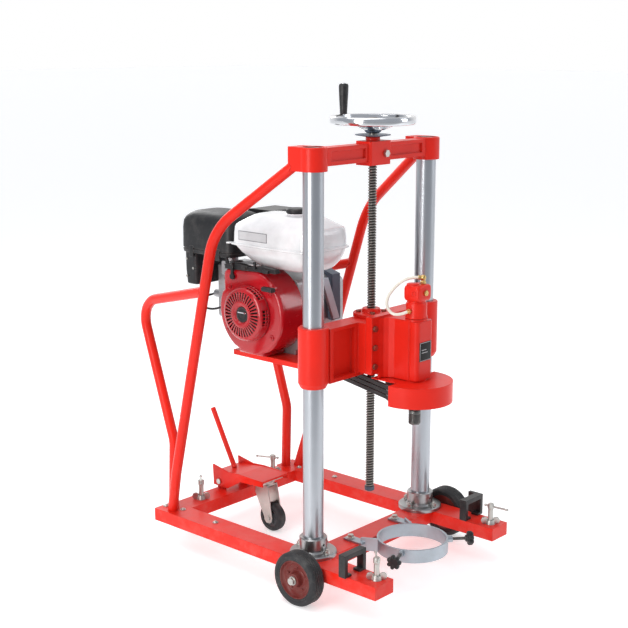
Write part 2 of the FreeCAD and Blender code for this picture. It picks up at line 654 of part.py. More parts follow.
def feed():
    end = "wheel_z + 8"
    keep("lead_screw", lathe([(0, 0), ("screw_radius - 2", 0), ("screw_radius", 2),
                              ("screw_radius", f"{end} - screw_bottom"), (0, f"{end} - screw_bottom")],
                             (0, 0, "screw_bottom")))
    lower = lathe([("screw_radius + 0.02", 0), (15, 0), (15, 12), ("screw_radius + 0.02", 12)],
                  (0, 0, "screw_bottom + 3"))
    shield = lathe([("screw_radius + 0.02", 0), (22, 0), (52, 5), (52, 7), (22, 3),
                    ("screw_radius + 0.02", 3)], (0, 0, "beam_top + 13.3"))
    keep("feed_collars", group(lower, shield))

    low = "wheel_z - rim_height / 2"
    inner = "wheel_radius - rim_width"
    rim = lathe([(inner, "4 - rim_height / 2"), (f"{inner} + 4", "-rim_height / 2"),
                 ("wheel_radius - 5", "-rim_height / 2"), ("wheel_radius", "5 - rim_height / 2"),
                 ("wheel_radius", "rim_height / 2 - 5"), ("wheel_radius - 5", "rim_height / 2"),
                 (f"{inner} + 4", "rim_height / 2"), (inner, "rim_height / 2 - 4")], (0, 0, "wheel_z"))
    hub = lathe([("screw_radius + 0.02", 0), (17, 0), (26, 8), (26, 18), (20, 28),
                 ("screw_radius + 0.02", 28)], (0, 0, "wheel_z - 38"))
    spokes = []
    for angle in (90, 210, 330):
        spoke = plate([(18, -32), (26, -34), ("wheel_radius - rim_width + 3", -4),
                       ("wheel_radius - rim_width + 3", 6), (26, -20), (18, -16)], 20, (0, 0, 0), "y")
        turn = Rotation(Vector(0, 0, 1), angle)
        shift = turn.multVec(Vector(0, -10, 0))
        settle(spoke, (f"{shift.x:.6f}", f"{shift.y:.6f}", "wheel_z"), turn)
        spokes.append(spoke)
    pin = rod(4, 92, (0, "grip_radius", "wheel_z + rim_height / 2 - 4"))
    head = rod(7, 3, (0, "grip_radius", "wheel_z + rim_height / 2 + 88"))
    nut = hexagon(13, 7, (0, 0, "wheel_z - 10"))
    wheel = cut(fuse(rim, hub, nut, *spokes, pin, head),
                rod("screw_radius + 0.02", 60, (0, 0, "wheel_z - 50")))
    keep("handwheel", wheel)
    keep("handwheel_grip", lathe([("4 + gap", 0), (10.6, 0), (11, 10), (14, 65), (14.4, 82), (12, 87.5),
                                  ("4 + gap", 87.5)], (0, "grip_radius", "wheel_z + rim_height / 2 + 0.3")))


# ---------------------------------------------------------------- carriage and drill head

def carriage():
    height = "carriage_top - carriage_bottom"
    pieces = []
    tools = []
    for side in (-1, 1):
        centre = f"({side}) * column_offset"
        pieces.append(lathe([(0, 0), ("sleeve_radius - 7", 0), ("sleeve_radius", 14),
                             ("sleeve_radius", f"{height} - 2"), ("sleeve_radius - 2", height), (0, height)],
                            (centre, 0, "carriage_bottom")))
        tools.append(rod("column_radius + gap", f"{height} + 2", (centre, 0, "carriage_bottom - 1")))
        near, far = sorted((side * 112, side * 206))
        for low, high in (("-web_half - 1", -16), (16, "web_half + 1")):
            tools.append(block((near, far), (low, high), ("web_bottom + 12", "web_top - 10")))
    pieces.append(block(("-column_offset + 36", "column_offset - 36"), ("-web_half", "web_half"),
                        ("web_bottom", "web_top")))
    pieces.append(block(("-block_half", "block_half"), ("block_front", "-web_half"),
                        ("web_bottom + 10", "web_top")))
    tools.append(rod("22 + gap", "web_top - web_bottom + 2", (0, 0, "web_bottom - 1")))
    tools += ring_of(4, 38, (0, 0, "web_top - 20"), lambda spot: rod(4.05, 30, spot), start=45)
    for side in (-1, 1):
        for z in HEAD_BOLTS_Z:
            tools.append(rod(5.05, 30, (side * HEAD_BOLT_X, "block_front + 25", z), "-y"))
    keep("carriage", cut(fuse(*pieces), *tools))

    nut = lathe([("screw_radius + gap", -90), (22, -90), (22, 0), (54, 0), (54, 10), (52, 12), (28, 12),
                 (26, 24), ("screw_radius + gap", 24)], (0, 0, "web_top"))
    holes = ring_of(4, 38, (0, 0, "web_top - 5"), lambda spot: rod(4.05, 30, spot), start=45)
    keep("lead_nut", cut(nut, *holes))

    bolts = []
    shanks = ring_of(4, 38, (0, 0, "web_top - 18"), lambda spot: rod(4, 32, spot), start=45)
    heads = ring_of(4, 38, (0, 0, "web_top + 12"), lambda spot: hexagon(7.5, 6, spot), start=45)
    for shank, head in zip(shanks, heads):
        bolts.append(fuse(shank, head))
    for side in (-1, 1):
        for z in HEAD_BOLTS_Z:
            x = side * HEAD_BOLT_X
            bolts.append(fuse(rod(5, 44, (x, "block_front + 20", z), "-y"),
                              hexagon(9.2, 7, (x, "block_front - 24", z), "-y")))
    keep("carriage_bolts", group(*bolts))


def drill_head():
    """The spindle housing on its neck, bolted to the front of the carriage."""
    flange = block(("-block_half", "block_half"), ("block_front - 24", "block_front"),
                   ("web_bottom + 10", "head_top + 2"))
    right_side = [(34, "spindle_y"), (34, -116), (39, -98), (50, -88), (66, -84), (66, -80)]
    left_side = [(-x, y) for x, y in reversed(right_side)]
    neck = plate(right_side + left_side, "head_top - head_bottom - 6", (0, 0, "head_bottom + 2"))
    barrel = rod("head_half - 4", "head_top - head_bottom", (0, "spindle_y", "head_bottom"))
    face = rounded(block(("-head_half", "head_half"), ("spindle_y - 34", "spindle_y"),
                         ("head_bottom + 6", "head_top - 6")), 12)
    tools = [rod("spindle_radius + gap", 300, (0, "spindle_y", "head_bottom - 10"))]
    for side in (-1, 1):
        for z in HEAD_BOLTS_Z:
            tools.append(rod(5.05, 30, (side * HEAD_BOLT_X, "block_front + 1", z), "-y"))
    keep("drill_head", cut(fuse(flange, neck, barrel, face), *tools))

    keep("spindle", lathe([(6, 0), ("nose_radius - 3", 0), ("nose_radius", 4), ("nose_radius", 42), (15, 46),
                           (15, 70), ("spindle_radius", 72), ("spindle_radius", 316), (14, 318), (14, 344),
                           (6, 344)], (0, "spindle_y", "nose_bottom")))

    swivel = lathe([("14 + gap", 0), (32, 0), (32, 6), (31, 8), (31, 44), (27, 48), (27, 52), (0, 52),
                    (0, 30), ("14 + gap", 30)], (0, "spindle_y", "head_top + 1"))
    body = rounded(block((-32, 34), ("spindle_y - 30", "spindle_y + 24"),
                         ("head_top + 51", "head_top + 99")), 13, "y")
    plug = hexagon(9, 7, (2, "spindle_y - 30", "head_top + 76"), "-y")
    keep("water_swivel", fuse(swivel, body, plug))
    side_fitting = fuse(rod(6, 13.4, (-31.4, "spindle_y", "head_top + 24"), "-x"),
                        hexagon(8, 7, (-32, "spindle_y", "head_top + 24"), "-x"))
    top_fitting = fuse(rod(6, 17, (14, "spindle_y - 12", "head_top + 99.2")),
                       ball(9, (14, "spindle_y - 12", "head_top + 117")))
    hose = bent_tube(HOSE_ROUTE, 4.5, hose_bends(), "HoseTube")
    keep("water_hose", group(cut(hose, side_fitting, top_fitting), side_fitting, top_fitting))


def hose_bends():
    """Each bend as large as the runs beside it allow."""
    spots = [point(*place) for place in HOSE_ROUTE]
    bends = []
    for before, corner, after in zip(spots, spots[1:], spots[2:]):
        turn = (corner - before).getAngle(after - corner)
        run = min((corner - before).Length, (after - corner).Length)
        bends.append(0.45 * run / math.tan(turn / 2))
    print("hose bend radii:", [round(bend, 1) for bend in bends])
    return bends


# ---------------------------------------------------------------- belt drive

def pulley(outside, place):
    """A grooved pulley; the grooves leave 0.3 mm round each belt."""
    corners = [(20, 0), (f"{outside} + 3", 0)]
    for index in range(3):
        low = f"{index} * belt_pitch + (belt_pitch - belt_height) / 2 - 0.3"
        high = f"{index} * belt_pitch + (belt_pitch + belt_height) / 2 + 0.3"
        root = f"{outside} - belt_depth - 0.3"
        corners += [(f"{outside} + 3", low), (root, low), (root, high), (f"{outside} + 3", high)]
    corners += [(f"{outside} + 3", "3 * belt_pitch"), (20, "3 * belt_pitch")]
    return lathe(corners, place)


def belt_loop(shrink, bottom):
    """The face inside a belt's outer edge, less what it shrinks by, padded to the belt's width."""
    start = point(0, "spindle_y", bottom)
    end = point("drive_x", "crank_y", bottom)
    big = size("big_pulley") - shrink
    small = size("small_pulley") - shrink
    along = (end - start).normalize()
    angle = math.acos((big - small) / (end - start).Length)
    up = Vector(0, 0, 1)
    left = Rotation(up, math.degrees(angle)).multVec(along)
    right = Rotation(up, -math.degrees(angle)).multVec(along)
    corners = [start + left * big, start - along * big, start + right * big,
               end + right * small, end + along * small, end + left * small]
    wire = Part.Wire([Part.Arc(*corners[0:3]).toShape(), Part.LineSegment(corners[2], corners[3]).toShape(),
                      Part.Arc(*corners[3:6]).toShape(), Part.LineSegment(corners[5], corners[0]).toShape()])
    return Part.Face(wire).extrude(up * size("belt_height"))


def belt_drive():
    hub = rod(30, "3 * belt_pitch", (0, "spindle_y", "belt_bottom"))
    spindle_pulley = cut(fuse(pulley("big_pulley", (0, "spindle_y", "belt_bottom")), hub),
                         rod("spindle_radius + 0.03", 80, (0, "spindle_y", "belt_bottom - 5")))
    keep("spindle_pulley", spindle_pulley)

    shaft = rod(12.5, "deck_top + 60 - belt_bottom", ("drive_x", "crank_y", "belt_bottom"))
    keep("drive_pulley", fuse(pulley("small_pulley", ("drive_x", "crank_y", "belt_bottom")),
                              rod(21, "3 * belt_pitch", ("drive_x", "crank_y", "belt_bottom")), shaft))

    belts = []
    for index in range(3):
        bottom = f"belt_bottom + {index} * belt_pitch + (belt_pitch - belt_height) / 2"
        belt = doc.addObject("Part::Feature", "Belt")
        belt.Shape = belt_loop(0, bottom).cut(belt_loop(size("belt_depth"), bottom))
        belts.append(belt)
    keep("drive_belts", group(*belts))

    guard_bottom = "belt_bottom - 5"
    guard_top = "head_bottom"
    rear = "spindle_y + 13"
    outer = rod("guard_radius", f"{guard_top} - ({guard_bottom})", (0, "spindle_y", guard_bottom))
    inner = rod("guard_radius - guard_wall", f"{guard_top} - ({guard_bottom}) - guard_wall",
                (0, "spindle_y", guard_bottom))
    sides = block(("-guard_radius", "guard_radius"), ("spindle_y", rear), (guard_bottom, guard_top))
    sides_inside = block(("-guard_radius + guard_wall", "guard_radius - guard_wall"),
                         ("spindle_y", f"{rear} + 1"), (guard_bottom, f"{guard_top} - guard_wall"))
    behind = block((-130, 130), (rear, "spindle_y + 130"), ("belt_bottom - 10", "head_bottom + 5"))
    shelf = block((-70, 70), ("spindle_y", "block_front"), (f"{guard_top} - guard_wall", guard_top))
    hole = rod(24, 20, (0, "spindle_y", f"{guard_top} - 10"))
    guard = cut(fuse(cut(outer, behind), sides), inner, sides_inside, hole)
    keep("belt_guard", cut(fuse(guard, shelf), hole))


# ---------------------------------------------------------------- engine

def engine_platform():
    low = "deck_top - deck_thick"
    deck = block((-150, 196), (142, 432), (low, "deck_top"))
    neck = block((-120, 120), ("web_half", 143), (low, "deck_top"))
    gussets = []
    for x in (-118, 108):
        gussets.append(plate([("web_half", "deck_top"), (140, "deck_top"), ("web_half", "web_top - 14")], 10,
                             (x, 0, 0), "x"))
    hole = rod(16, 40, ("drive_x", "crank_y", f"{low} - 5"))
    keep("engine_platform", cut(fuse(deck, neck, *gussets), hole))


def engine():
    """A one-cylinder engine: block, fan housing, recoil starter, tank, air cleaner and muffler."""
    case = rounded(block((-78, 92), (222, 428), ("deck_top + 14", 800)), 16, "x")
    feet = block((-78, 92), (236, 430), ("deck_top", "deck_top + 16"))
    cylinder = rounded(block((-48, 70), (380, 560), (640, 800)), 10, "y")
    fins = []
    for index in range(7):
        fins.append(block((-58, 80), (432 + index * 17, 438 + index * 17), (628, 812)))
    head = rounded(block((-54, 76), (560, 596), (632, 808)), 10, "y")
    spark_plug = rod(13, 46, (-22, 594, 700), "y")
    slab = plate([(204, 660), (250, 668), (246, 812), (206, 800)], 34, (60, 0, 0), "x")
    keep("engine_block", fuse(case, feet, cylinder, *fins, head, spark_plug, slab))

    drum = rod(135, 100, (-180, "crank_y", "crank_z"), "x")
    corner = rounded(block((-180, -80), ("crank_y - 128", 446), ("crank_z", 829)), 26, "x")
    below = block((-190, -70), (150, 500), (500, "deck_top + 2"))
    hollow = rod(126, 88, (-168, "crank_y", "crank_z"), "x")
    mouth = rod(70, 40, (-188, "crank_y", "crank_z"), "x")
    rope_guide = rod(9, 9.7, (-180, STARTER_ROPE[0], STARTER_ROPE[1]), "-x")
    keep("fan_housing", cut(fuse(drum, corner, rope_guide), below, hollow, mouth))

    cover = lathe([(0, 38), (62, 38), (76, 33), (83, 22), (86, 0), (80, 0), (77, 20), (72, 29), (60, 34),
                   (0, 34)], (-180.3, "crank_y", "crank_z"), "-x")
    keep("recoil_cover", cover)
    rope_y, rope_z = STARTER_ROPE
    grip = block((-210, -190), (rope_y - 20, rope_y + 20), (rope_z - 7, rope_z + 7))
    keep("starter_grip", rounded(grip, 6, "y"))

    gearbox = fuse(rounded(block((92, 188), (272, 390), ("deck_top", "crank_z + 72")), 18, "x"),
                   rod(52, 8, (188, "crank_y", "crank_z"), "x"))
    keep("gearbox", cut(gearbox, rod("12.5 + gap", 80, ("drive_x", "crank_y", "deck_top - 10"))))


def fuel_system():
    seam = (902, 908)
    upper = rounded(block((-168, 40), (112, 428), (seam[1], 982)), 26)
    crown = rounded(block((-146, 18), (134, 406), (982, 1002)), 26)
    flange = rounded(block((-175, 47), (105, 435), seam), 33)
    lower = rounded(block((-156, 28), (124, 416), (838, seam[0])), 26)
    lug = block((-168, -146), (430, 443), seam)
    middle = (seam[0] + seam[1]) / 2
    hollow = [rounded(block((-165, 37), (115, 425), (middle, 979)), 23),
              rounded(block((-153, 25), (127, 413), (841, middle)), 23)]
    keep("fuel_tank", cut(fuse(upper, crown, flange, lower, lug), *hollow))
    keep("fuel_cap", lathe([(0, 0), (26, 0), (30, 3), (30, 12), (26, 15), (0, 15)], (-58, 250, 1002.3)))

    box = rounded(block((-148, 30), (446, 678), (850, 972)), 24, "x")
    lid = rounded(block((-130, 14), (462, 650), (972, 985)), 6, "x")
    stem = rounded(block((-140, 0), (606, 666), (746, 850)), 10)
    hollow = rounded(block((-145, 27), (449, 675), (853, 969)), 21, "x")
    keep("air_cleaner", cut(fuse(box, lid, stem), hollow))

    body = rounded(block((62, 176), (448, 580), (862, 978)), 22, "x")
    pipe = rod(14, 54, (100, 520, 809), "z")
    hollow = rounded(block((65, 173), (451, 577), (865, 975)), 19, "x")
    keep("muffler", cut(fuse(body, pipe), hollow))

    body = rounded(block((-122, -78), (454, 510), (790, 836)), 8, "x")
    air_inlet = rod(18, 15, (-100, 482, 834.7))
    bowl = rod(16, 28, (-100, 482, 764))
    outlet = rod(13, 21.7, (-80, 482, 806), "x")
    keep("carburettor", fuse(body, air_inlet, bowl, outlet))
    lever = fuse(rod(9, 6, (-180.3, 400, 806), "-x"), block((-186, -182), (395, 405), (806, 846)),
                 ball(6, (-184, 400, 848)))
    keep("throttle_lever", lever)


# ---------------------------------------------------------------- places that several pieces share

JACK_FRONT = (281, -258)
JACK_REAR = (170, 573)
EAR_ANGLE = -48
RING_BOLT_X = 107
BEAM_BOLT = (50, 1208)
RAIL_BOLTS = [(290, 611), (276, 545), (284, 387)]
GUIDE_SCREWS = {"left": 200, "front": 318}
GUIDE_SCREW_Z = 46
STARTER_ROPE = (232, 789)
HEAD_BOLT_X = 86
HEAD_BOLTS_Z = (586, 642, 698)
HOSE_ROUTE = [(-43, "spindle_y", "head_top + 24"), (-62, "spindle_y + 8", "head_top + 18"),
              (-74, "spindle_y + 30", "head_top + 17"), (-71, "spindle_y + 52", "head_top + 33"),
              (-61, "spindle_y + 61", "head_top + 56"), (-49, "spindle_y + 53", "head_top + 80"),
              (-32, "spindle_y + 34", "head_top + 106"), (-12, "spindle_y + 12", "head_top + 119"),
              (9, "spindle_y - 7", "head_top + 118")]


# ---------------------------------------------------------------- the whole machine

base_frame()
columns()
side_tubes(top_crossbeam())
frame_bolts()
guide_ring()
lift_handles()
front_wheels()
caster()
levelling_screws()
feed()
carriage()
drill_head()
belt_drive()
engine_platform()
engine()
fuel_system()

doc.recompute()
for obj in doc.Objects:
    if "Invalid" in obj.State or "Error" in obj.State:
        raise RuntimeError(f"{obj.Label} ({obj.Name}) could not be worked out: {obj.State}")
for node, piece in subparts.items():
    if piece.Shape.isNull() or not piece.Shape.isValid():
        raise RuntimeError(f"{node} has no valid shape")
    if not piece.Shape.Solids:
        raise RuntimeError(f"{node} has no solid")

os.makedirs("parts", exist_ok=True)
for node, piece in subparts.items():
    piece.Shape.exportStep(f"parts/{node}.step")
print(len(subparts), "sub-parts written")
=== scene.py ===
import math

import bmesh
import bpy
from mathutils import Matrix, Vector


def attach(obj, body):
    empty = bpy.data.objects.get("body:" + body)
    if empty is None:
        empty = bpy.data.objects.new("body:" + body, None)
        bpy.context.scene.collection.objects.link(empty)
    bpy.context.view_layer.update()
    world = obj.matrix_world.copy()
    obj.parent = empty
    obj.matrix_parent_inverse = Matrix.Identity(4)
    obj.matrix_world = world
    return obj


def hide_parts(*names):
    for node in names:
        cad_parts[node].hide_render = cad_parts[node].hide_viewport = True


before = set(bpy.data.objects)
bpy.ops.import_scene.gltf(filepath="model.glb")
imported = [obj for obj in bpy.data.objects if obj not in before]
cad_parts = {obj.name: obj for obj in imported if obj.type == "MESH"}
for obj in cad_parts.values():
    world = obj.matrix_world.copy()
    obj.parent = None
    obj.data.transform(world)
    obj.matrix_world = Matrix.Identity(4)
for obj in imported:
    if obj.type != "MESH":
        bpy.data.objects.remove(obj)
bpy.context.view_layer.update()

FACING_LEFT = (-1, 0, 0)
COLUMN_Y = -0.204    # the columns' line in the shared frame; y is counted from it below
RAIL_Z = 0.075       # the rails' underside in the shared frame; z is counted from it below


def spot(x, y, z):
    """Millimetres from the columns' line and the rails' underside, to metres in the shared frame."""
    return Vector((x / 1000, y / 1000 + COLUMN_Y, z / 1000 + RAIL_Z))


# ------------------------------------------------------------------ camera

camera_data = bpy.data.cameras.new("camera")
camera_data.lens = 72.27
camera_data.sensor_width = 36
camera_data.clip_end = 200
camera = bpy.data.objects.new("camera", camera_data)
bpy.context.collection.objects.link(camera)
camera.location = spot(-2845.3, -2318.5, 1508)
yaw, pitch = math.radians(48.17), math.radians(-12.18)
ahead = Vector((math.sin(yaw) * math.cos(pitch), math.cos(yaw) * math.cos(pitch), math.sin(pitch)))
camera.rotation_euler = ahead.to_track_quat("-Z", "Y").to_euler()
bpy.context.scene.camera = camera
bpy.context.scene.view_settings.view_transform = "Standard"


# ------------------------------------------------------------------ materials

class Nodes:
    """A short way to write a material's node tree."""

    def __init__(self, name):
        self.material = bpy.data.materials.new(name)
        self.material.use_nodes = True
        self.tree = self.material.node_tree
        self.shader = self.tree.nodes["Principled BSDF"]
        self.place = self.node("ShaderNodeTexCoord").outputs["Object"]

    def node(self, kind, **settings):
        made = self.tree.nodes.new(kind)
        for key, value in settings.items():
            setattr(made, key, value)
        return made

    def join(self, source, target):
        self.tree.links.new(source, target)

    def math(self, operation, first, second=None, clamp=False):
        made = self.node("ShaderNodeMath", operation=operation, use_clamp=clamp)
        for socket, value in zip(made.inputs, (first, second)):
            if value is None:
                continue
            if isinstance(value, (int, float)):
                socket.default_value = value
            else:
                self.join(value, socket)
        return made.outputs[0]

    def noise(self, scale, detail=4, rough=0.55, stretch=None):
        where = self.place
        if stretch:
            mapping = self.node("ShaderNodeMapping")
            mapping.inputs["Scale"].default_value = stretch
            self.join(where, mapping.inputs["Vector"])
            where = mapping.outputs[0]
        made = self.node("ShaderNodeTexNoise")
        made.inputs["Scale"].default_value = scale
        made.inputs["Detail"].default_value = detail
        made.inputs["Roughness"].default_value = rough
        self.join(where, made.inputs["Vector"])
        return made.outputs["Fac"]

    def ramp(self, source, stops):
        """Stops are (position, colour) with a colour or a grey."""
        made = self.node("ShaderNodeValToRGB")
        elements = made.color_ramp.elements
        while len(elements) < len(stops):
            elements.new(0.5)
        for element, (position, colour) in zip(elements, stops):
            element.position = position
            element.color = (colour, colour, colour, 1) if isinstance(colour, (int, float)) else (*colour, 1)
        self.join(source, made.inputs[0])
        return made.outputs[0]

    def blend(self, factor, first, second):
        made = self.node("ShaderNodeMix", data_type="RGBA")
        for socket, value in ((made.inputs[0], factor), (made.inputs[6], first), (made.inputs[7], second)):
            if isinstance(value, (int, float)):
                socket.default_value = value
            elif isinstance(value, tuple):
                socket.default_value = (*value, 1)
            else:
                self.join(value, socket)
        return made.outputs[2]

    def edges(self, radius):
        """Rounded normals, and a mask that is 1 on sharp outer edges."""
        bevel = self.node("ShaderNodeBevel", samples=6)
        bevel.inputs["Radius"].default_value = radius
        true_normal = self.node("ShaderNodeNewGeometry").outputs["Normal"]
        product = self.node("ShaderNodeVectorMath", operation="DOT_PRODUCT")
        self.join(bevel.outputs[0], product.inputs[0])
        self.join(true_normal, product.inputs[1])
        mask = self.math("MULTIPLY", self.math("SUBTRACT", 1.0, product.outputs["Value"]), 6.0, clamp=True)
        return bevel.outputs[0], mask

    def bump(self, height, distance, normal, strength):
        made = self.node("ShaderNodeBump")
        made.inputs["Distance"].default_value = distance
        made.inputs["Strength"].default_value = strength
        self.join(height, made.inputs["Height"])
        self.join(normal, made.inputs["Normal"])
        return made.outputs[0]

    def finish(self, colour, rough, normal, metallic=0.0, coat=0.0, coat_rough=0.1, specular=0.5):
        for key, value in (("Base Color", colour), ("Roughness", rough), ("Normal", normal)):
            socket = self.shader.inputs[key]
            if isinstance(value, tuple):
                socket.default_value = (*value, 1)
            elif isinstance(value, (int, float)):
                socket.default_value = value
            elif value is not None:
                self.join(value, socket)
        self.shader.inputs["Metallic"].default_value = metallic
        self.shader.inputs["Coat Weight"].default_value = coat
        self.shader.inputs["Coat Roughness"].default_value = coat_rough
        self.shader.inputs["Specular IOR Level"].default_value = specular
        return self.material


def tone(colour, factor):
    return tuple(min(1, c * factor) for c in colour)


def paint(name, colour, rough=0.3, wear=0.5, peel=0.00012, edge_radius=0.0022, coat=0.07,
          chip=(0.30, 0.24, 0.22)):
    """Sprayed enamel: slight colour drift, orange peel, chipped edges, dust low down."""
    n = Nodes(name)
    normal, edge = n.edges(edge_radius)
    drift = n.ramp(n.noise(5, 3), [(0.3, tone(colour, 0.88)), (0.7, tone(colour, 1.06))])
    patch = n.noise(70, 5, 0.7)
    worn = n.math("MULTIPLY", edge, n.ramp(patch, [(0.56, 0.0), (0.70, wear)]))
    colour_out = n.blend(worn, drift, chip)
    scuff = n.ramp(n.noise(26, 6, 0.75, stretch=(1, 1, 3)), [(0.55, 0.0), (0.75, 1.0)])
    height = n.node("ShaderNodeSeparateXYZ")
    n.join(n.place, height.inputs[0])
    low = n.math("MULTIPLY", n.math("SUBTRACT", 0.30, height.outputs["Z"], clamp=True), 1.6, clamp=True)
    dust = n.math("MULTIPLY", low, n.ramp(n.noise(18, 6, 0.7), [(0.45, 0.0), (0.8, 0.55)]))
    colour_out = n.blend(dust, colour_out, (0.42, 0.33, 0.29))
    rough_out = n.math("ADD", n.math("MULTIPLY", scuff, 0.14), rough)
    rough_out = n.math("ADD", rough_out, n.math("MULTIPLY", dust, 0.4), clamp=True)
    grain = n.bump(n.noise(420, 2), peel, normal, 0.35)
    return n.finish(colour_out, rough_out, grain, coat=coat, coat_rough=0.12, specular=0.2)


def metal(name, colour, rough=0.25, grain=0.0, stretch=(1, 1, 1), scale=300, edge_radius=0.0012, mottle=0.1,
          bright_edge=0.35, stain=(0.32, 0.27, 0.22), stained=0.12):
    """Bare or plated metal: tool marks or grain, smears, brighter edges."""
    n = Nodes(name)
    normal, edge = n.edges(edge_radius)
    drift = n.ramp(n.noise(14, 5, 0.6), [(0.3, tone(colour, 1 - mottle)), (0.7, tone(colour, 1 + mottle))])
    colour_out = n.blend(n.math("MULTIPLY", edge, bright_edge), drift, tone(colour, 1.35))
    grime = n.math("MULTIPLY", n.ramp(n.noise(40, 6, 0.7), [(0.52, 0.0), (0.75, 1.0)]), stained)
    colour_out = n.blend(grime, colour_out, stain)
    marks = n.noise(scale, 3, 0.6, stretch=stretch)
    rough_out = n.math("ADD", n.math("MULTIPLY", marks, 0.16), rough - 0.08)
    rough_out = n.math("ADD", rough_out, n.math("MULTIPLY", grime, 0.5), clamp=True)
    surface = n.bump(marks, grain, normal, 0.5) if grain else normal
    return n.finish(colour_out, rough_out, surface, metallic=1.0)


def plain(name, colour, rough=0.6, bump=0.0002, scale=500, edge_radius=0.0015, dusty=0.25, specular=0.4,
          dust_colour=(0.30, 0.28, 0.26), coat=0.0):
    """Moulded plastic or rubber: fine texture, dulled edges, dust in patches."""
    n = Nodes(name)
    normal, edge = n.edges(edge_radius)
    drift = n.ramp(n.noise(11, 4), [(0.3, tone(colour, 0.85)), (0.7, tone(colour, 1.12))])
    dust = n.math("MULTIPLY", n.ramp(n.noise(24, 7, 0.72), [(0.48, 0.0), (0.78, 1.0)]), dusty)
    colour_out = n.blend(dust, drift, dust_colour)
    colour_out = n.blend(n.math("MULTIPLY", edge, 0.25), colour_out, tone(dust_colour, 0.8))
    fine = n.noise(scale, 3, 0.6)
    rough_out = n.math("ADD", n.math("MULTIPLY", fine, 0.16), rough - 0.08, clamp=True)
    return n.finish(colour_out, rough_out, n.bump(fine, bump, normal, 0.5), specular=specular, coat=coat)


RED = (0.74, 0.019, 0.009)
frame_paint = paint("frame_paint", RED)
cast_paint = paint("cast_paint", tone(RED, 0.97), rough=0.34, peel=0.0005, edge_radius=0.004, wear=0.35)
engine_paint = paint("engine_paint", (0.42, 0.006, 0.012), rough=0.22, peel=0.0001, edge_radius=0.003,
                     wear=0.2, coat=0.8)
black_paint = paint("black_paint", (0.018, 0.018, 0.019), rough=0.38, wear=0.8, chip=(0.30, 0.29, 0.28),
                    coat=0.2)
wheel_paint = paint("wheel_paint", (0.16, 0.022, 0.018), rough=0.42, wear=0.7, coat=0.15)
chrome = metal("column_chrome", (0.43, 0.45, 0.48), rough=0.32, grain=0.000004, stretch=(1, 1, 8), scale=160,
               mottle=0.03, stained=0.03)
steel = metal("machined_steel", (0.36, 0.36, 0.36), rough=0.30, grain=0.00006, stretch=(1, 1, 14), scale=120)
zinc = metal("zinc_plate", (0.50, 0.49, 0.46), rough=0.36, grain=0.00015, scale=240, mottle=0.16)
polished = metal("polished_steel", (0.66, 0.67, 0.69), rough=0.13, grain=0.00003, stretch=(1, 1, 10),
                 scale=120, mottle=0.05, stained=0.05)
ring_metal = metal("ring_metal", (0.40, 0.44, 0.48), rough=0.42, grain=0.0002, scale=220, mottle=0.08)
alloy = metal("cast_alloy", (0.42, 0.42, 0.43), rough=0.5, grain=0.0008, scale=420, edge_radius=0.003,
              mottle=0.14, stained=0.3)
iron = metal("machined_iron", (0.20, 0.20, 0.205), rough=0.42, grain=0.0003, scale=300, stained=0.3)
brass = metal("brass", (0.62, 0.43, 0.16), rough=0.28, grain=0.0001, scale=260)
tyre_rubber = plain("tyre_rubber", (0.016, 0.017, 0.019), rough=0.62, bump=0.0005, scale=420, dusty=0.22)
belt_rubber = plain("belt_rubber", (0.010, 0.010, 0.011), rough=0.6, bump=0.0005, scale=900, dusty=0.08)
label_line = plain("label_line", (0.16, 0.17, 0.19), rough=0.5, bump=0.0002, scale=600, dusty=0.1)
slab_grey = paint("slab_grey", (0.10, 0.125, 0.165), rough=0.4)
caster_hub = plain("caster_hub", (0.05, 0.053, 0.06), rough=0.45, bump=0.0003, scale=500, dusty=0.2)
painted_bolt = metal("painted_bolt", (0.30, 0.11, 0.08), rough=0.45, grain=0.0002, scale=240, mottle=0.3,
                     stained=0.3)
dark_steel = metal("dark_steel", (0.15, 0.145, 0.14), rough=0.36, grain=0.0002, scale=260, mottle=0.2,
                   stained=0.3)
black_plastic = plain("black_plastic", (0.010, 0.0105, 0.012), rough=0.42, bump=0.0003, scale=900,
                      dusty=0.12, edge_radius=0.003)
tank_white = plain("tank_white", (0.73, 0.74, 0.75), rough=0.2, bump=0.00008, scale=300, dusty=0.10,
                   specular=0.5, dust_colour=(0.55, 0.55, 0.54), coat=0.6)
hose_rubber = plain("hose_rubber", (0.80, 0.76, 0.66), rough=0.32, bump=0.0001, scale=600, dusty=0.1,
                    dust_colour=(0.55, 0.48, 0.36), coat=0.3)
# near-black painted shade, put behind the starter's slots and vents
painted_shade_inside = plain("painted_shade_inside", (0.012, 0.011, 0.011), rough=0.7, dusty=0.1)
plate_black = plain("plate_black", (0.006, 0.006, 0.007), rough=0.4, bump=0.00003, dusty=0.02, specular=0.2)
decal_grey = plain("decal_grey", (0.55, 0.56, 0.57), rough=0.35, bump=0.00003, dusty=0.1)


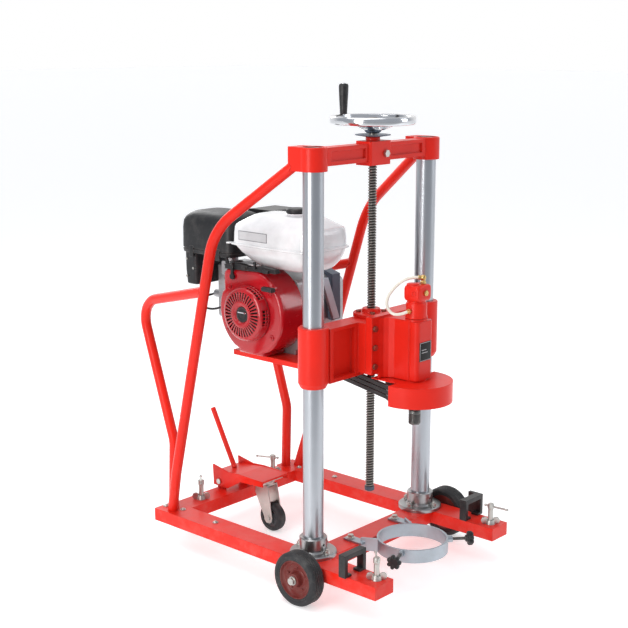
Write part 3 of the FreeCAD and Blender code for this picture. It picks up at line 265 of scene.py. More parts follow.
def thread_metal(name, low, root, crest):
    """Steel that is darker towards a thread's roots and brighter on its crests, by distance from the screw's
    axis.
    """
    n = Nodes(name)
    normal = n.edges(0.0006)[0]
    place = n.node("ShaderNodeSeparateXYZ")
    n.join(n.place, place.inputs[0])
    across = n.math("SUBTRACT", place.outputs["Y"], COLUMN_Y)
    out = n.math("SQRT", n.math("ADD", n.math("MULTIPLY", place.outputs["X"], place.outputs["X"]),
                                n.math("MULTIPLY", across, across)))
    depth = n.math("MULTIPLY", n.math("SUBTRACT", out, root), 1 / (crest - root), clamp=True)
    body = n.ramp(depth, [(0.05, low), (0.85, (0.22, 0.205, 0.19)), (1.0, (0.34, 0.32, 0.295))])
    grime = n.math("MULTIPLY", n.ramp(n.noise(30, 6, 0.7), [(0.5, 0.0), (0.75, 1.0)]), 0.3)
    body = n.blend(grime, body, (0.16, 0.13, 0.11))
    fine = n.noise(240, 3, 0.6)
    rough = n.math("ADD", n.math("MULTIPLY", fine, 0.2), 0.30)
    return n.finish(body, rough, n.bump(fine, 0.00005, normal, 0.5), metallic=0.85)


screw_steel = thread_metal("screw_steel", (0.06, 0.055, 0.05), 0.0102, 0.013)

NODE_LOOKS = {
    frame_paint: ["side_rails", "front_crossbar", "rear_crossbeam", "braces", "push_handles",
                  "caster_platform", "caster_lever", "belt_guard", "engine_platform"],
    cast_paint: ["top_crossbeam", "carriage", "lead_nut", "drill_head"],
    chrome: ["columns"],
    steel: ["column_flanges"],
    zinc: ["frame_bolts", "wheel_axles", "jack_wing_nuts", "caster_hinge_pin", "caster_mount", "caster_fork"],
    painted_bolt: ["carriage_bolts"],
    slab_grey: ["feed_collars"],
    ring_metal: ["guide_ring"],
    black_paint: ["lift_handles", "muffler", "throttle_lever"],
    belt_rubber: ["drive_belts"],
    iron: ["spindle_pulley", "drive_pulley"],
    alloy: ["engine_block", "gearbox", "carburettor"],
    black_plastic: ["handwheel_grip", "starter_grip", "fuel_cap"],
}
for end in ("front_left", "front_right", "rear_left", "rear_right"):
    NODE_LOOKS[zinc] += [f"{end}_jack_foot", f"{end}_jack_screw"]


def dress(obj, material):
    obj.data.materials.clear()
    obj.data.materials.append(material)


for look, names in NODE_LOOKS.items():
    for name in names:
        dress(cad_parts[name], look)


# ------------------------------------------------------------------ mesh helpers

def piece(name, mesh, material, body, instead_of=None, sharp=35):
    """A finished object that rides on a body, in place of a CAD node if one is named."""
    obj = bpy.data.objects.new(name, mesh)
    bpy.context.collection.objects.link(obj)
    mesh.materials.clear()
    mesh.materials.append(material)
    mesh.shade_smooth()
    mesh.set_sharp_from_angle(angle=math.radians(sharp))
    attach(obj, body)
    if instead_of:
        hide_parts(instead_of)
    return obj


def mesh_from(name, verts, faces):
    mesh = bpy.data.meshes.new(name)
    mesh.from_pydata([tuple(v) for v in verts], [], faces)
    mesh.validate()
    tidy = bmesh.new()
    tidy.from_mesh(mesh)
    bmesh.ops.remove_doubles(tidy, verts=tidy.verts, dist=1e-6)
    bmesh.ops.recalc_face_normals(tidy, faces=tidy.faces)
    tidy.to_mesh(mesh)
    tidy.free()
    return mesh


def merge(name, *meshes):
    """One mesh from several."""
    joined = bmesh.new()
    for mesh in meshes:
        joined.from_mesh(mesh)
    mesh = bpy.data.meshes.new(name)
    joined.to_mesh(mesh)
    joined.free()
    return mesh


def axis_frame(origin, direction):
    """A matrix that takes +Z to a direction at an origin."""
    return Matrix.Translation(origin) @ Vector(direction).to_track_quat("Z", "Y").to_matrix().to_4x4()


def lathe(name, profile, origin, direction=(0, 0, 1), segments=96, closed=False):
    """Turn (radius, height) corners in mm round an axis."""
    place = axis_frame(origin, direction)
    verts, faces = [], []
    count = len(profile)
    for i in range(segments):
        angle = 2 * math.pi * i / segments
        for radius, height in profile:
            corner = Vector((radius * math.cos(angle), radius * math.sin(angle), height)) / 1000
            verts.append(place @ corner)
    for i in range(segments):
        j = (i + 1) % segments
        for k in range(count if closed else count - 1):
            m = (k + 1) % count
            if profile[k][0] == 0 and profile[m][0] == 0:
                continue
            faces.append([i * count + k, j * count + k, j * count + m, i * count + m])
    return mesh_from(name, verts, faces)


def loft(name, sections, segments=96, place=spot, up="z"):
    """Superellipse outlines (level, centre a, centre b, half a, half b, power), capped at both ends."""
    verts, faces = [], []
    for level, ca, cb, ha, hb, power in sections:
        for i in range(segments):
            angle = 2 * math.pi * (i + 0.5) / segments
            c, s = math.cos(angle), math.sin(angle)
            a = ca + ha * math.copysign(abs(c) ** (2 / power), c)
            b = cb + hb * math.copysign(abs(s) ** (2 / power), s)
            corner = {"z": (a, b, level), "y": (a, level, b), "x": (level, a, b)}[up]
            verts.append(place(*corner))
    for k in range(len(sections) - 1):
        for i in range(segments):
            j = (i + 1) % segments
            faces.append([k * segments + i, k * segments + j, (k + 1) * segments + j, (k + 1) * segments + i])
    faces.append(list(range(segments)))
    faces.append([(len(sections) - 1) * segments + i for i in range(segments)])
    return mesh_from(name, verts, faces)


def box(name, low, high, radius):
    """A box with rounded edges, between two corners in mm."""
    made = bmesh.new()
    bmesh.ops.create_cube(made, size=1)
    size = [h - l for l, h in zip(low, high)]
    middle = [(h + l) / 2 for l, h in zip(low, high)]
    bmesh.ops.scale(made, vec=[s / 1000 for s in size], verts=made.verts)
    bmesh.ops.bevel(made, geom=list(made.edges), offset=radius / 1000, segments=3, profile=0.5,
                    affect="EDGES")
    made.transform(Matrix.Translation(spot(*middle)))
    mesh = bpy.data.meshes.new(name)
    made.to_mesh(mesh)
    made.free()
    return mesh


def prism(name, outline, start, depth):
    """An outline of (y, z) corners in mm, pushed along x."""
    verts, faces = [], []
    count = len(outline)
    for level in (start, start + depth):
        for y, z in outline:
            verts.append(spot(level, y, z))
    for i in range(count):
        j = (i + 1) % count
        faces.append([i, j, count + j, count + i])
    faces.append(list(range(count))[::-1])
    faces.append([count + i for i in range(count)])
    return mesh_from(name, verts, faces)


def cylinder(name, radius, start, end, segments=32, chamfer=0.6):
    """A round bar between two points in mm, with eased ends."""
    a, b = spot(*start), spot(*end)
    length = (b - a).length * 1000
    profile = [(0, 0), (radius - chamfer, 0), (radius, chamfer), (radius, length - chamfer),
               (radius - chamfer, length), (0, length)]
    return lathe(name, profile, a, b - a, segments)


def hexagon(name, radius, start, end):
    """A bolt head between two points, with a chamfered far face."""
    a, b = spot(*start), spot(*end)
    length = (b - a).length * 1000
    profile = [(0, 0), (radius, 0), (radius, length - 1), (radius - 1.2, length), (0, length)]
    return lathe(name, profile, a, b - a, 6)


# ------------------------------------------------------------------ water hose, held by a fitting at each end

SPINDLE_Y = -168    # the spindle's axis
HEAD_TOP = 730      # top of the drill head


def on_head(x, y, z):
    """A place measured from the spindle's axis and the top of the head."""
    return (x, SPINDLE_Y + y, HEAD_TOP + z)


HOSE_ROUTE = [on_head(-43, 0, 24), on_head(-62, 8, 18), on_head(-74, 30, 17), on_head(-71, 52, 33),
              on_head(-61, 61, 56), on_head(-49, 53, 80), on_head(-32, 34, 106), on_head(-12, 12, 119),
              on_head(9, -7, 118)]


def hose():
    curve = bpy.data.curves.new("water_hose_line", "CURVE")
    curve.dimensions = "3D"
    curve.bevel_depth = 0.0045
    curve.bevel_resolution = 8
    curve.resolution_u = 24
    curve.use_fill_caps = True
    line = curve.splines.new("NURBS")
    line.points.add(len(HOSE_ROUTE) - 1)
    for point, place in zip(line.points, HOSE_ROUTE):
        point.co = (*spot(*place), 1)
    line.order_u = 3
    line.use_endpoint_u = True
    obj = bpy.data.objects.new("water_hose_tube", curve)
    bpy.context.collection.objects.link(obj)
    curve.materials.append(hose_rubber)
    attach(obj, "carriage")
    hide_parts("water_hose")


def hose_fittings():
    """A nipple and nut on the swivel's side, and a nipple, nut and ball on its top."""
    ball = [(0, -9), (4.5, -7.8), (7.8, -4.5), (9, 0), (7.8, 4.5), (4.5, 7.8), (0, 9)]
    return merge("hose_fittings",
                 cylinder("side_nipple", 6, on_head(-30.5, 0, 24), on_head(-46, 0, 24)),
                 hexagon("side_nut", 8, on_head(-32, 0, 24), on_head(-39, 0, 24)),
                 cylinder("top_nipple", 6, on_head(14, -12, 98), on_head(14, -12, 116)),
                 hexagon("top_nut", 8.5, on_head(14, -12, 99.2), on_head(14, -12, 107)),
                 lathe("top_ball", ball, spot(*on_head(14, -12, 117)), segments=32),
                 cylinder("top_outlet", 6.4, on_head(12, -10, 117.2), on_head(3, -2, 118)))


hose()
piece("hose_fittings", hose_fittings(), brass, "carriage")


def swivel():
    """The water swivel: a screwed collar on the head, and a cast body with a boss and a rib."""
    turned = [(16, 1), (32, 1), (32.3, 2), (32.3, 6), (31, 8), (30.6, 12), (30.6, 42), (29.6, 45.5), (27, 48),
              (27, 54), (0, 54)]
    collar = lathe("collar", turned, spot(*on_head(0, 0, 0)))
    sections = [(-32, 21, 17, 4), (-30, 25, 21, 5), (-26, 26.6, 23, 6), (-14, 27, 23.8, 7),
                (-12, 27, 23.8, 7), (22, 27, 23.8, 7), (29, 26, 22.6, 6), (33, 23, 19, 5), (34, 20, 16, 4)]
    body = loft("body", [(x, -3, 75, wide, high, power) for x, wide, high, power in sections], 72,
                place=lambda x, y, z: spot(*on_head(x, y, z)), up="x")
    rib = lathe("rib", [(0, 0), (17, 0), (18, 2), (18, 5), (16, 6.4), (0, 6.4)], spot(*on_head(-14, 4, 96)),
                segments=48)
    boss = lathe("boss", [(0, 0), (8, 0), (8, 1.6), (5.4, 2), (5.2, 0.6), (0, 0.6)],
                 spot(*on_head(-31.6, -14, 76)), FACING_LEFT, 32)
    screws = []
    for degrees in (40, 140, 220, 320):
        turn = math.radians(degrees)
        x, y = 25 * math.cos(turn), 25 * math.sin(turn)
        screws.append(hexagon("screw", 3.6, on_head(x, y, 1), on_head(x, y, 10)))
    return merge("swivel_body", collar, body, rib, boss, *screws)


def swivel_plug():
    return merge("swivel_plug", hexagon("plug_head", 9, on_head(2, -29, 76), on_head(2, -35.4, 76)),
                 cylinder("plug_end", 5, on_head(2, -35, 76), on_head(2, -37, 76)))


piece("swivel_body", swivel(), cast_paint, "carriage", instead_of="water_swivel", sharp=38)
piece("swivel_plug", swivel_plug(), brass, "carriage")


# ------------------------------------------------------------------ lead screw and handwheel

def thread(name, radius, root, pitch, bottom, top, segments=32):
    """A trapezoidal screw thread as one surface."""
    phases = ((0.0, root), (0.16, root), (0.34, radius), (0.66, radius), (0.84, root))
    turns = int((top - bottom) / pitch) + 2
    verts, faces, rows = [], [], []
    for turn in range(-1, turns):
        for phase, size in phases:
            rows.append((turn + phase, size))
    for level, size in rows:
        for i in range(segments + 1):
            part = i / segments
            z = bottom + (level + part) * pitch
            clipped = min(max(z, bottom), top)
            angle = 2 * math.pi * part
            verts.append(spot(size * math.cos(angle), size * math.sin(angle), clipped))
    wide = segments + 1
    for k in range(len(rows) - 1):
        for i in range(segments):
            faces.append([k * wide + i, k * wide + i + 1, (k + 1) * wide + i + 1, (k + 1) * wide + i])
    return mesh_from(name, verts, faces)


SCREW_RADIUS = 13
SCREW_LEAD = 8
RIM_LOW = 1277    # underside of the handwheel's rim


def lead_screw():
    return merge("lead_screw_thread", thread("ridges", SCREW_RADIUS, 9.8, SCREW_LEAD, 166, 1226),
                 cylinder("end", 10.5, (0, 0, 164), (0, 0, 168)),
                 cylinder("journal", SCREW_RADIUS - 0.1, (0, 0, 1224), (0, 0, 1296)))


def spoke(degrees):
    """A flat bar that widens at both ends and climbs from the hub to the rim."""
    turn = math.radians(degrees)
    along = Vector((math.cos(turn), math.sin(turn), 0))
    across = Vector((-along.y, along.x, 0))
    verts, faces = [], []
    stations = 14
    sides = 20
    for k in range(stations + 1):
        t = k / stations
        reach = 20 + (108 - 20) * t
        ease = t * t * (3 - 2 * t)
        level = RIM_LOW - 13 + 24 * ease
        wide = 8.5 + 4.5 * abs(2 * t - 1) ** 2.2 + (3.0 * t if t > 0.8 else 0)
        thick = 5.2 + 1.4 * (1 - t)
        for i in range(sides):
            a = 2 * math.pi * i / sides
            rise = Vector((0, 0, level + thick * math.sin(a)))
            verts.append(spot(*(along * reach + across * wide * math.cos(a) + rise)))
    for k in range(stations):
        for i in range(sides):
            j = (i + 1) % sides
            faces.append([k * sides + i, k * sides + j, (k + 1) * sides + j, (k + 1) * sides + i])
    return mesh_from("spoke", verts, faces)


def handwheel():
    """A dished wheel with three spokes, the nut on top and the grip's pin."""
    rim = [(105, 4), (107.5, 1), (112, 0), (119, 0), (123, 1.5), (125, 5), (125, 19), (123, 22.5), (119, 24),
           (113, 23.6), (110, 22), (108.5, 18), (107.5, 13), (105.6, 10)]
    parts = [lathe("rim", rim, spot(0, 0, RIM_LOW), segments=144, closed=True)]
    hub = [(13.1, 0), (18, 0), (24, 5), (27, 10), (27, 17), (24, 21), (19, 25), (13.1, 26)]
    parts.append(lathe("hub", hub, spot(0, 0, RIM_LOW - 26), segments=64))
    parts += [spoke(degrees) for degrees in (90, 210, 330)]
    parts.append(hexagon("nut", 15, (0, 0, RIM_LOW - 1), (0, 0, RIM_LOW + 9)))
    parts.append(cylinder("pin", 4, (0, 112, RIM_LOW + 20), (0, 112, RIM_LOW + 112)))
    head = [(0, 0), (7, 0), (7, 1.6), (5, 2.8), (0, 3)]
    parts.append(lathe("head", head, spot(0, 112, RIM_LOW + 112), segments=32))
    return merge("handwheel_wheel", *parts)


piece("lead_screw_thread", lead_screw(), screw_steel, "feed", instead_of="lead_screw",
      sharp=28)
piece("handwheel_wheel", handwheel(), polished, "feed", instead_of="handwheel", sharp=40)


# ------------------------------------------------------------------ front wheels

WHEEL_FACE = 332       # the wheels' inner faces
WHEEL_Y, WHEEL_Z = -35, 5


def tyre(side):
    """Sidewalls with a raised bead and a ribbed tread."""
    start = spot(side * WHEEL_FACE, WHEEL_Y, WHEEL_Z)
    profile = [(56.9, 9), (57.4, 4.6), (60, 3.2), (62, 3.8), (64, 1.6), (68, 0.4), (73, 1.6), (77, 4.8),
               (79, 9)]
    for middle in (14.5, 22, 30, 37.5):
        profile += [(80, middle - 2.8), (80, middle + 1.4), (77.8, middle + 2.1), (77.8, middle + 3.3),
                    (80, middle + 4.1)]
    profile += [(79, 43), (77, 47.2), (73, 50.4), (68, 51.6), (64, 50.4), (62, 48.2), (60, 48.8),
                (57.4, 47.4), (56.9, 43)]
    return lathe(f"tyre_{side}", profile, start, (side, 0, 0), 128)


def wheel_disc(side):
    """A pressed disc: a rolled rim, two concentric ribs, five lug screws and a hub."""
    start = spot(side * WHEEL_FACE, WHEEL_Y, WHEEL_Z)
    profile = [(10.1, 0), (20, 0), (20, 14), (42, 10), (55.5, 6), (56.7, 6), (56.8, 9), (54.5, 13),
               (54.5, 38), (56.8, 43), (56.6, 47), (54, 47.2), (52.4, 42), (49, 38), (46, 36.6),
               (43.5, 38.2), (41, 38.4), (38.6, 36), (33, 33.5), (30, 33), (28, 34.6), (25.4, 34.8),
               (23.4, 33), (21.6, 35), (20, 39), (19.4, 49), (18, 51.5), (10.1, 51.8)]
    body = lathe(f"disc_{side}", profile, start, (side, 0, 0), 128, closed=True)
    bolts = []
    for k in range(5):
        turn = 2 * math.pi * k / 5 + 0.3
        y, z = WHEEL_Y + 35.5 * math.cos(turn), WHEEL_Z + 35.5 * math.sin(turn)
        bolts.append(hexagon("bolt", 4.4, (side * 364, y, z), (side * 370, y, z)))
    return merge(f"wheel_disc_{side}", body, *bolts)


for side, word in ((-1, "left"), (1, "right")):
    body = f"{word}_wheel"
    piece(f"{word}_tyre_tread", tyre(side), tyre_rubber, body, instead_of=f"{word}_tyre")
    piece(f"{word}_wheel_centre", wheel_disc(side), wheel_paint, body,
          instead_of=f"{word}_wheel_disc")


# ------------------------------------------------------------------ caster wheel

CASTER_Y, CASTER_Z = 410, -27
CASTER_HALF = 17    # half the wheel's width


def caster_tread():
    profile = [(30.2, 3.2), (31, 1.2), (34, 0.4), (40, 0.8), (44.5, 3), (47, 7), (47.9, 12), (48, 17),
               (47.9, 22), (47, 27), (44.5, 31), (40, 33.2), (34, 33.6), (31, 32.8), (30.2, 30.8)]
    return lathe("caster_tread", profile, spot(-CASTER_HALF, CASTER_Y, CASTER_Z), (1, 0, 0))


def caster_centre():
    """A hub with a thin web and six ribs on each side of it."""
    profile = [(5.1, 0), (13, 0), (14, 1), (14, 4.5), (16, 6.5), (24, 7), (27, 4.5), (30.1, 3.4),
               (30.1, 30.6), (27, 29.5), (24, 27), (16, 27.5), (14, 29.5), (14, 33), (13, 34), (5.1, 34)]
    hub = lathe("hub", profile, spot(-CASTER_HALF, CASTER_Y, CASTER_Z), (1, 0, 0), closed=True)
    ribs = []
    for k in range(6):
        turn = 2 * math.pi * k / 6
        for level in (3.8, 27.2):
            middle = spot(level - CASTER_HALF + 1.5, CASTER_Y + 20.5 * math.cos(turn),
                          CASTER_Z + 20.5 * math.sin(turn))
            rib = bmesh.new()
            bmesh.ops.create_cube(rib, size=1)
            bmesh.ops.scale(rib, vec=(0.003, 0.013, 0.0026), verts=rib.verts)
            rib.transform(Matrix.Translation(middle) @ Matrix.Rotation(turn, 4, "X"))
            mesh = bpy.data.meshes.new("rib")
            rib.to_mesh(mesh)
            rib.free()
            ribs.append(mesh)
    return merge("caster_centre", hub, *ribs)


piece("caster_tread", caster_tread(), tyre_rubber, "caster_roller", instead_of="caster_wheel")
piece("caster_centre", caster_centre(), caster_hub, "caster_roller")


# ------------------------------------------------------------------ guide ring screws

SCREW_START = 0.1015    # from the ring's axis to a guide screw's inner end, in metres


def guide_thread(base, outward):
    """A screw with plain ridges, 2 mm apart."""
    profile = [(0, 0), (3.4, 0)]
    level = 1.5
    while level < 60:
        profile += [(5.0, level), (5.0, level + 0.5), (4.2, level + 1.0), (4.2, level + 1.4)]
        level += 2.0
    profile += [(5.0, 61), (0, 61)]
    return lathe("thread", profile, base, outward, 32)


def star_knob(base, outward):
    """Outlines of (reach, radius, how far the seven lobes show)."""
    place = axis_frame(base, outward)
    stations = [(60, 9, 0.0), (62, 10.5, 0.0), (65, 11.5, 0.1), (66, 17, 0.7), (67.5, 20, 1.0),
                (70, 21.6, 1.0), (78, 21.6, 1.0), (81.5, 20.4, 1.0), (83.5, 17.5, 0.9), (84, 13, 0.4),
                (83.2, 9, 0.0), (82.6, 4, 0.0)]
    sides = 112
    verts, faces = [], []
    for reach, radius, lobed in stations:
        for i in range(sides):
            a = 2 * math.pi * i / sides
            dip = (0.5 - 0.5 * math.cos(7 * a)) ** 2.2
            r = radius * (1 - 0.27 * lobed * dip)
            verts.append(place @ (Vector((r * math.cos(a), r * math.sin(a), reach)) / 1000))
    for k in range(len(stations) - 1):
        for i in range(sides):
            j = (i + 1) % sides
            faces.append([k * sides + i, k * sides + j, (k + 1) * sides + j, (k + 1) * sides + i])
    faces.append(list(range(sides)))
    faces.append([(len(stations) - 1) * sides + i for i in range(sides)])
    return mesh_from("knob", verts, faces)


def guide_screw(word, degrees):
    """A black star knob on a dark screw, laid outward from the ring's axis."""
    turn = math.radians(degrees)
    outward = Vector((math.cos(turn), math.sin(turn), 0))
    base = spot(0, SPINDLE_Y, 46) + outward * SCREW_START
    body = f"{word}_guide_screw"
    piece(f"{word}_screw_thread", guide_thread(base, outward), dark_steel, body, instead_of=body)
    piece(f"{word}_screw_knob", star_knob(base, outward), black_plastic, body, sharp=50)


guide_screw("left", 200)
guide_screw("front", 318)


# ------------------------------------------------------------------ spindle

def spindle():
    """A shaft with ridges on its nose, which stands out below the belt guard."""
    profile = [(6, 0), (14.5, 0), (16.5, 1), (17.6, 3)]
    for step in range(8):
        level = 4.5 + step * 3.4
        profile += [(17.9, level), (17.9, level + 1.2), (16.2, level + 1.9), (16.2, level + 2.6)]
    profile += [(18, 33), (18, 41), (17, 43), (15, 45), (15, 70), (17.4, 72), (17.4, 316), (14, 318),
                (14, 343.5), (6, 344)]
    return lathe("spindle_shaft", profile, spot(0, SPINDLE_Y, 411), segments=72)


piece("spindle_shaft", spindle(), dark_steel, "drill_spindle", instead_of="spindle")


# ------------------------------------------------------------------ engine

CRANK = (331, 701)    # the crankshaft, as (y, z)
FAN_X = -180          # the fan housing's outer face
ROPE = (232, 789)     # the starter rope's guide, as (y, z)


def around(radius, degrees):
    """A (y, z) point round the crankshaft; 0 points to the rear, 90 up."""
    turn = math.radians(degrees)
    return (CRANK[0] + radius * math.cos(turn), CRANK[1] + radius * math.sin(turn))


def fan_housing():
    """A drum with a square foot and a raised corner, four screws and the rope's guide."""
    outline = [around(134, degrees) for degrees in range(100, 239, 3)]
    outline += [(CRANK[0] - 52, 580), (CRANK[0] - 52, 570), (CRANK[0] + 52, 570), (CRANK[0] + 52, 580)]
    outline += [around(134, degrees) for degrees in range(-58, 24, 3)]
    outline += [(445, 762), (446, 784)]
    for degrees in range(0, 91, 15):
        turn = math.radians(degrees)
        outline.append((424 + 22 * math.cos(turn), 805 + 22 * math.sin(turn)))
    front_x = FAN_X + 2
    shell = prism("shell", outline, front_x, 98)
    made = bmesh.new()
    made.from_mesh(shell)
    front = [e for e in made.edges if all(abs(v.co.x - front_x / 1000) < 1e-5 for v in e.verts)]
    bmesh.ops.bevel(made, geom=front, offset=0.013, segments=5, profile=0.55, affect="EDGES")
    made.to_mesh(shell)
    made.free()
    parts = [shell]
    for degrees in (40, 140, 215, 325):
        y, z = around(112, degrees)
        parts.append(cylinder("boss", 9, (FAN_X + 4, y, z), (FAN_X - 1.5, y, z)))
        parts.append(hexagon("screw", 4.5, (FAN_X - 1, y, z), (FAN_X - 5, y, z)))
    parts.append(cylinder("guide", 9, (FAN_X + 12, *ROPE), (FAN_X - 9.6, *ROPE), chamfer=2))
    return merge("fan_housing_shell", *parts)


def recoil_cover():
    """A dished drum with radial slots in its face and two slatted vents in its side."""
    rings = [(0, 31), (25, 31), (26, 31.5), (28.5, 37), (31, 38), (38, 37.8), (41, 37.6), (55, 36.4),
             (69, 34.2), (72, 33.6), (77, 31.6), (80.5, 28.4), (82, 24), (82.8, 19.5), (83.6, 15),
             (84.4, 10.5), (85.2, 6), (86, 0)]
    segments = 144
    centre = spot(FAN_X - 0.3, *CRANK)
    place = axis_frame(centre, FACING_LEFT)
    verts, faces = [], []
    for radius, height in rings:
        for i in range(segments):
            turn = 2 * math.pi * i / segments
            verts.append(place @ (Vector((radius * math.cos(turn), radius * math.sin(turn), height)) / 1000))
    for k in range(len(rings) - 1):
        for i in range(segments):
            j = (i + 1) % segments
            face = [k * segments + i, k * segments + j, (k + 1) * segments + j, (k + 1) * segments + i]
            middle = (verts[face[0]] + verts[face[2]]) / 2 - centre
            degrees = math.degrees(math.atan2(middle.z, middle.y)) % 360
            slot = 6 <= k <= 7 and i % 4 in (0, 1)
            beside_vent = abs(degrees - 119) < 21 or abs(degrees - 181) < 17
            vent = k in (12, 13, 15) and beside_vent and i % 3 != 0
            if not slot and not vent:
                faces.append(face)
    return mesh_from("recoil_face", verts, faces)


def starter():
    """The pierced cover, a near-black cone of painted shade behind its slots, its centre cap and a plain
    bright strip.
    """
    cover = piece("recoil_face", recoil_cover(), engine_paint, "carriage", instead_of="recoil_cover",
                  sharp=50)
    thick = cover.modifiers.new("sheet", "SOLIDIFY")
    thick.thickness = 0.0022
    thick.offset = -1
    base = spot(FAN_X - 0.3, *CRANK)
    # painted shade: a near-black cone behind the slots and vents stands for the shaded hollow inside the
    # starter
    inside = lathe("recoil_inside", [(0, 20), (72, 18), (76, 10), (78, 1)], base, FACING_LEFT, 64)
    piece("recoil_inside", inside, painted_shade_inside, "carriage")
    profile = [(0, 33.6), (9, 33.4), (10, 32.8), (10.5, 31.2), (20, 31.2), (21.5, 32.6), (23.5, 32.6),
               (24.5, 31.1)]
    cap = lathe("recoil_centre", profile, base, FACING_LEFT, 64)
    piece("recoil_centre", cap, black_plastic, "carriage")
    strip = box("recoil_strip", (FAN_X - 34.4, CRANK[0] - 17, CRANK[1] + 4),
                (FAN_X - 33, CRANK[0] + 17, CRANK[1] + 8), 0.5)
    piece("recoil_strip", strip, polished, "carriage")


piece("fan_housing_shell", fan_housing(), engine_paint, "carriage", instead_of="fan_housing",
      sharp=40)
starter()


TANK_X = -64    # the tank's middle


def tank():
    """A moulded tank: its lower half rises to the rear, its top has sloping shoulders round a flat crown."""
    levels = [(838, 240, 66, 92, 4), (839.5, 240, 72, 98, 4.6), (846, 243, 80, 107, 5),
              (862, 250, 92, 124, 6), (882, 260, 99, 142, 7), (895, 266, 102, 151, 7.5),
              (901, 268, 103, 154, 8), (902, 270, 108, 162, 8), (903, 270, 110.5, 164.5, 8),
              (907, 270, 110.5, 164.5, 8), (908, 270, 108, 162, 8), (909, 270, 103.6, 157.6, 8),
              (935, 270, 103, 157, 8), (957, 270, 101.5, 155.5, 7.5), (964, 270, 99, 153, 7),
              (969, 270, 94, 148, 6.5), (984, 270, 72, 126, 5.5), (991, 269, 62, 115, 5),
              (995, 268, 54, 106, 4.6), (997.5, 267, 44, 94, 4.2), (998.6, 266, 20, 60, 3),
              (999, 266, 6, 18, 2)]
    body = loft("tank", [(z, TANK_X, *outline) for z, *outline in levels], 160)
    lug = box("lug", (-168, 428, 902.5), (-148, 442, 907.5), 2)
    ring = [(0, 0), (30, 0), (33, 2), (33, 4), (31, 5.5), (0, 5.5)]
    neck = lathe("neck", ring, spot(-58, 250, 996.5), segments=64)
    return merge("fuel_tank_body", body, lug, neck)


def tank_labels():
    """A blank label in a thin dark outline on the tank's left side."""
    low_y, high_y, low_z, high_z = 268, 386, 920, 948
    line = 1.6
    bars = [(low_y, high_y, low_z, low_z + line), (low_y, high_y, high_z - line, high_z),
            (low_y, low_y + line, low_z, high_z), (high_y - line, high_y, low_z, high_z)]
    outline = merge("label_outline", *[box("bar", (-168.3, y0, z0), (-167.2, y1, z1), 0.3)
                                       for y0, y1, z0, z1 in bars])
    piece("label_outline", outline, label_line, "carriage")
    blank = box("tank_label", (-168, low_y + 1, low_z + 1), (-166.2, high_y - 1, high_z - 1), 0.3)
    piece("tank_label", blank, decal_grey, "carriage")


def air_cleaner():
    """A moulded case with a groove under its lid's edge, its stem below and two clips."""
    middle = (-59, 562)
    levels = [(850, 85, 111, 6), (852, 88, 115, 6.5), (862, 88.8, 115.8, 7), (863, 86.5, 113.5, 7),
              (866, 86.5, 113.5, 7), (867, 88.8, 115.8, 7), (930, 88.4, 115.4, 7), (952, 87, 114, 6.5),
              (964, 82, 109, 6), (974, 73, 100, 5.2), (981, 60, 87, 4.6), (984.6, 38, 64, 4),
              (985, 10, 20, 3)]
    case = loft("case", [(z, *middle, *outline) for z, *outline in levels], 128)
    levels = [(746, 62, 24, 5), (749, 66, 27, 5), (790, 68.5, 28.8, 6), (851, 69.4, 29.6, 6)]
    stem = loft("stem", [(z, -70, 636, *outline) for z, *outline in levels], 96)
    clips = [box("clip", (-150, y - 9, 838), (-145.5, y + 9, 874), 1.5) for y in (500, 620)]
    return merge("air_cleaner_case", case, stem, *clips)


def cleaner_screws():
    places = ((652, 772), (622, 800), (652, 828))
    return merge("cleaner_screws", *[cylinder("screw", 4, (-137, y, z), (-141.5, y, z)) for y, z in places])


piece("fuel_tank_body", tank(), tank_white, "carriage", instead_of="fuel_tank", sharp=32)
tank_labels()
piece("air_cleaner_case", air_cleaner(), black_plastic, "carriage", instead_of="air_cleaner",
      sharp=32)
piece("cleaner_screws", cleaner_screws(), zinc, "carriage")


def pipe(name, radius, route):
    """A black flexible pipe through a short given route."""
    curve = bpy.data.curves.new(name, "CURVE")
    curve.dimensions = "3D"
    curve.bevel_depth = radius / 1000
    curve.bevel_resolution = 6
    spline = curve.splines.new("BEZIER")
    spline.bezier_points.add(len(route) - 1)
    for point, place in zip(spline.bezier_points, route):
        point.co = spot(*place)
        point.handle_left_type = point.handle_right_type = "AUTO"
    holder = bpy.data.objects.new(name, curve)
    mesh = bpy.data.meshes.new_from_object(holder)
    mesh.name = name
    bpy.data.objects.remove(holder)
    piece(name, mesh, belt_rubber, "carriage")


pipe("fuel_pipe", 4.5, [(-122, 300, 846), (-150, 318, 838), (-168, 352, 836), (-160, 410, 838),
                        (-140, 452, 826), (-118, 466, 820)])
pipe("breather_pipe", 6, [(-60, 440, 800), (-110, 446, 812), (-146, 452, 830), (-140, 470, 850)])
pipe("ignition_lead", 3.5, [(-22, 640, 700), (-70, 650, 690), (-120, 600, 676), (-130, 500, 690),
                            (-100, 450, 740)])


def control_panel():
    """A strip between engine and tank with the choke, a pivot and the fuel tap."""
    strip = [(222, 834), (436, 826), (440, 840), (380, 847), (330, 842), (280, 850), (226, 846)]
    return merge("control_panel", prism("panel", strip, -178, 20),
                 box("choke", (-186, 300, 838), (-178, 308, 862), 2),
                 cylinder("pivot", 8, (-176, 352, 838), (-183, 352, 838)),
                 box("tap", (-188, 246, 832), (-178, 268, 842), 2))


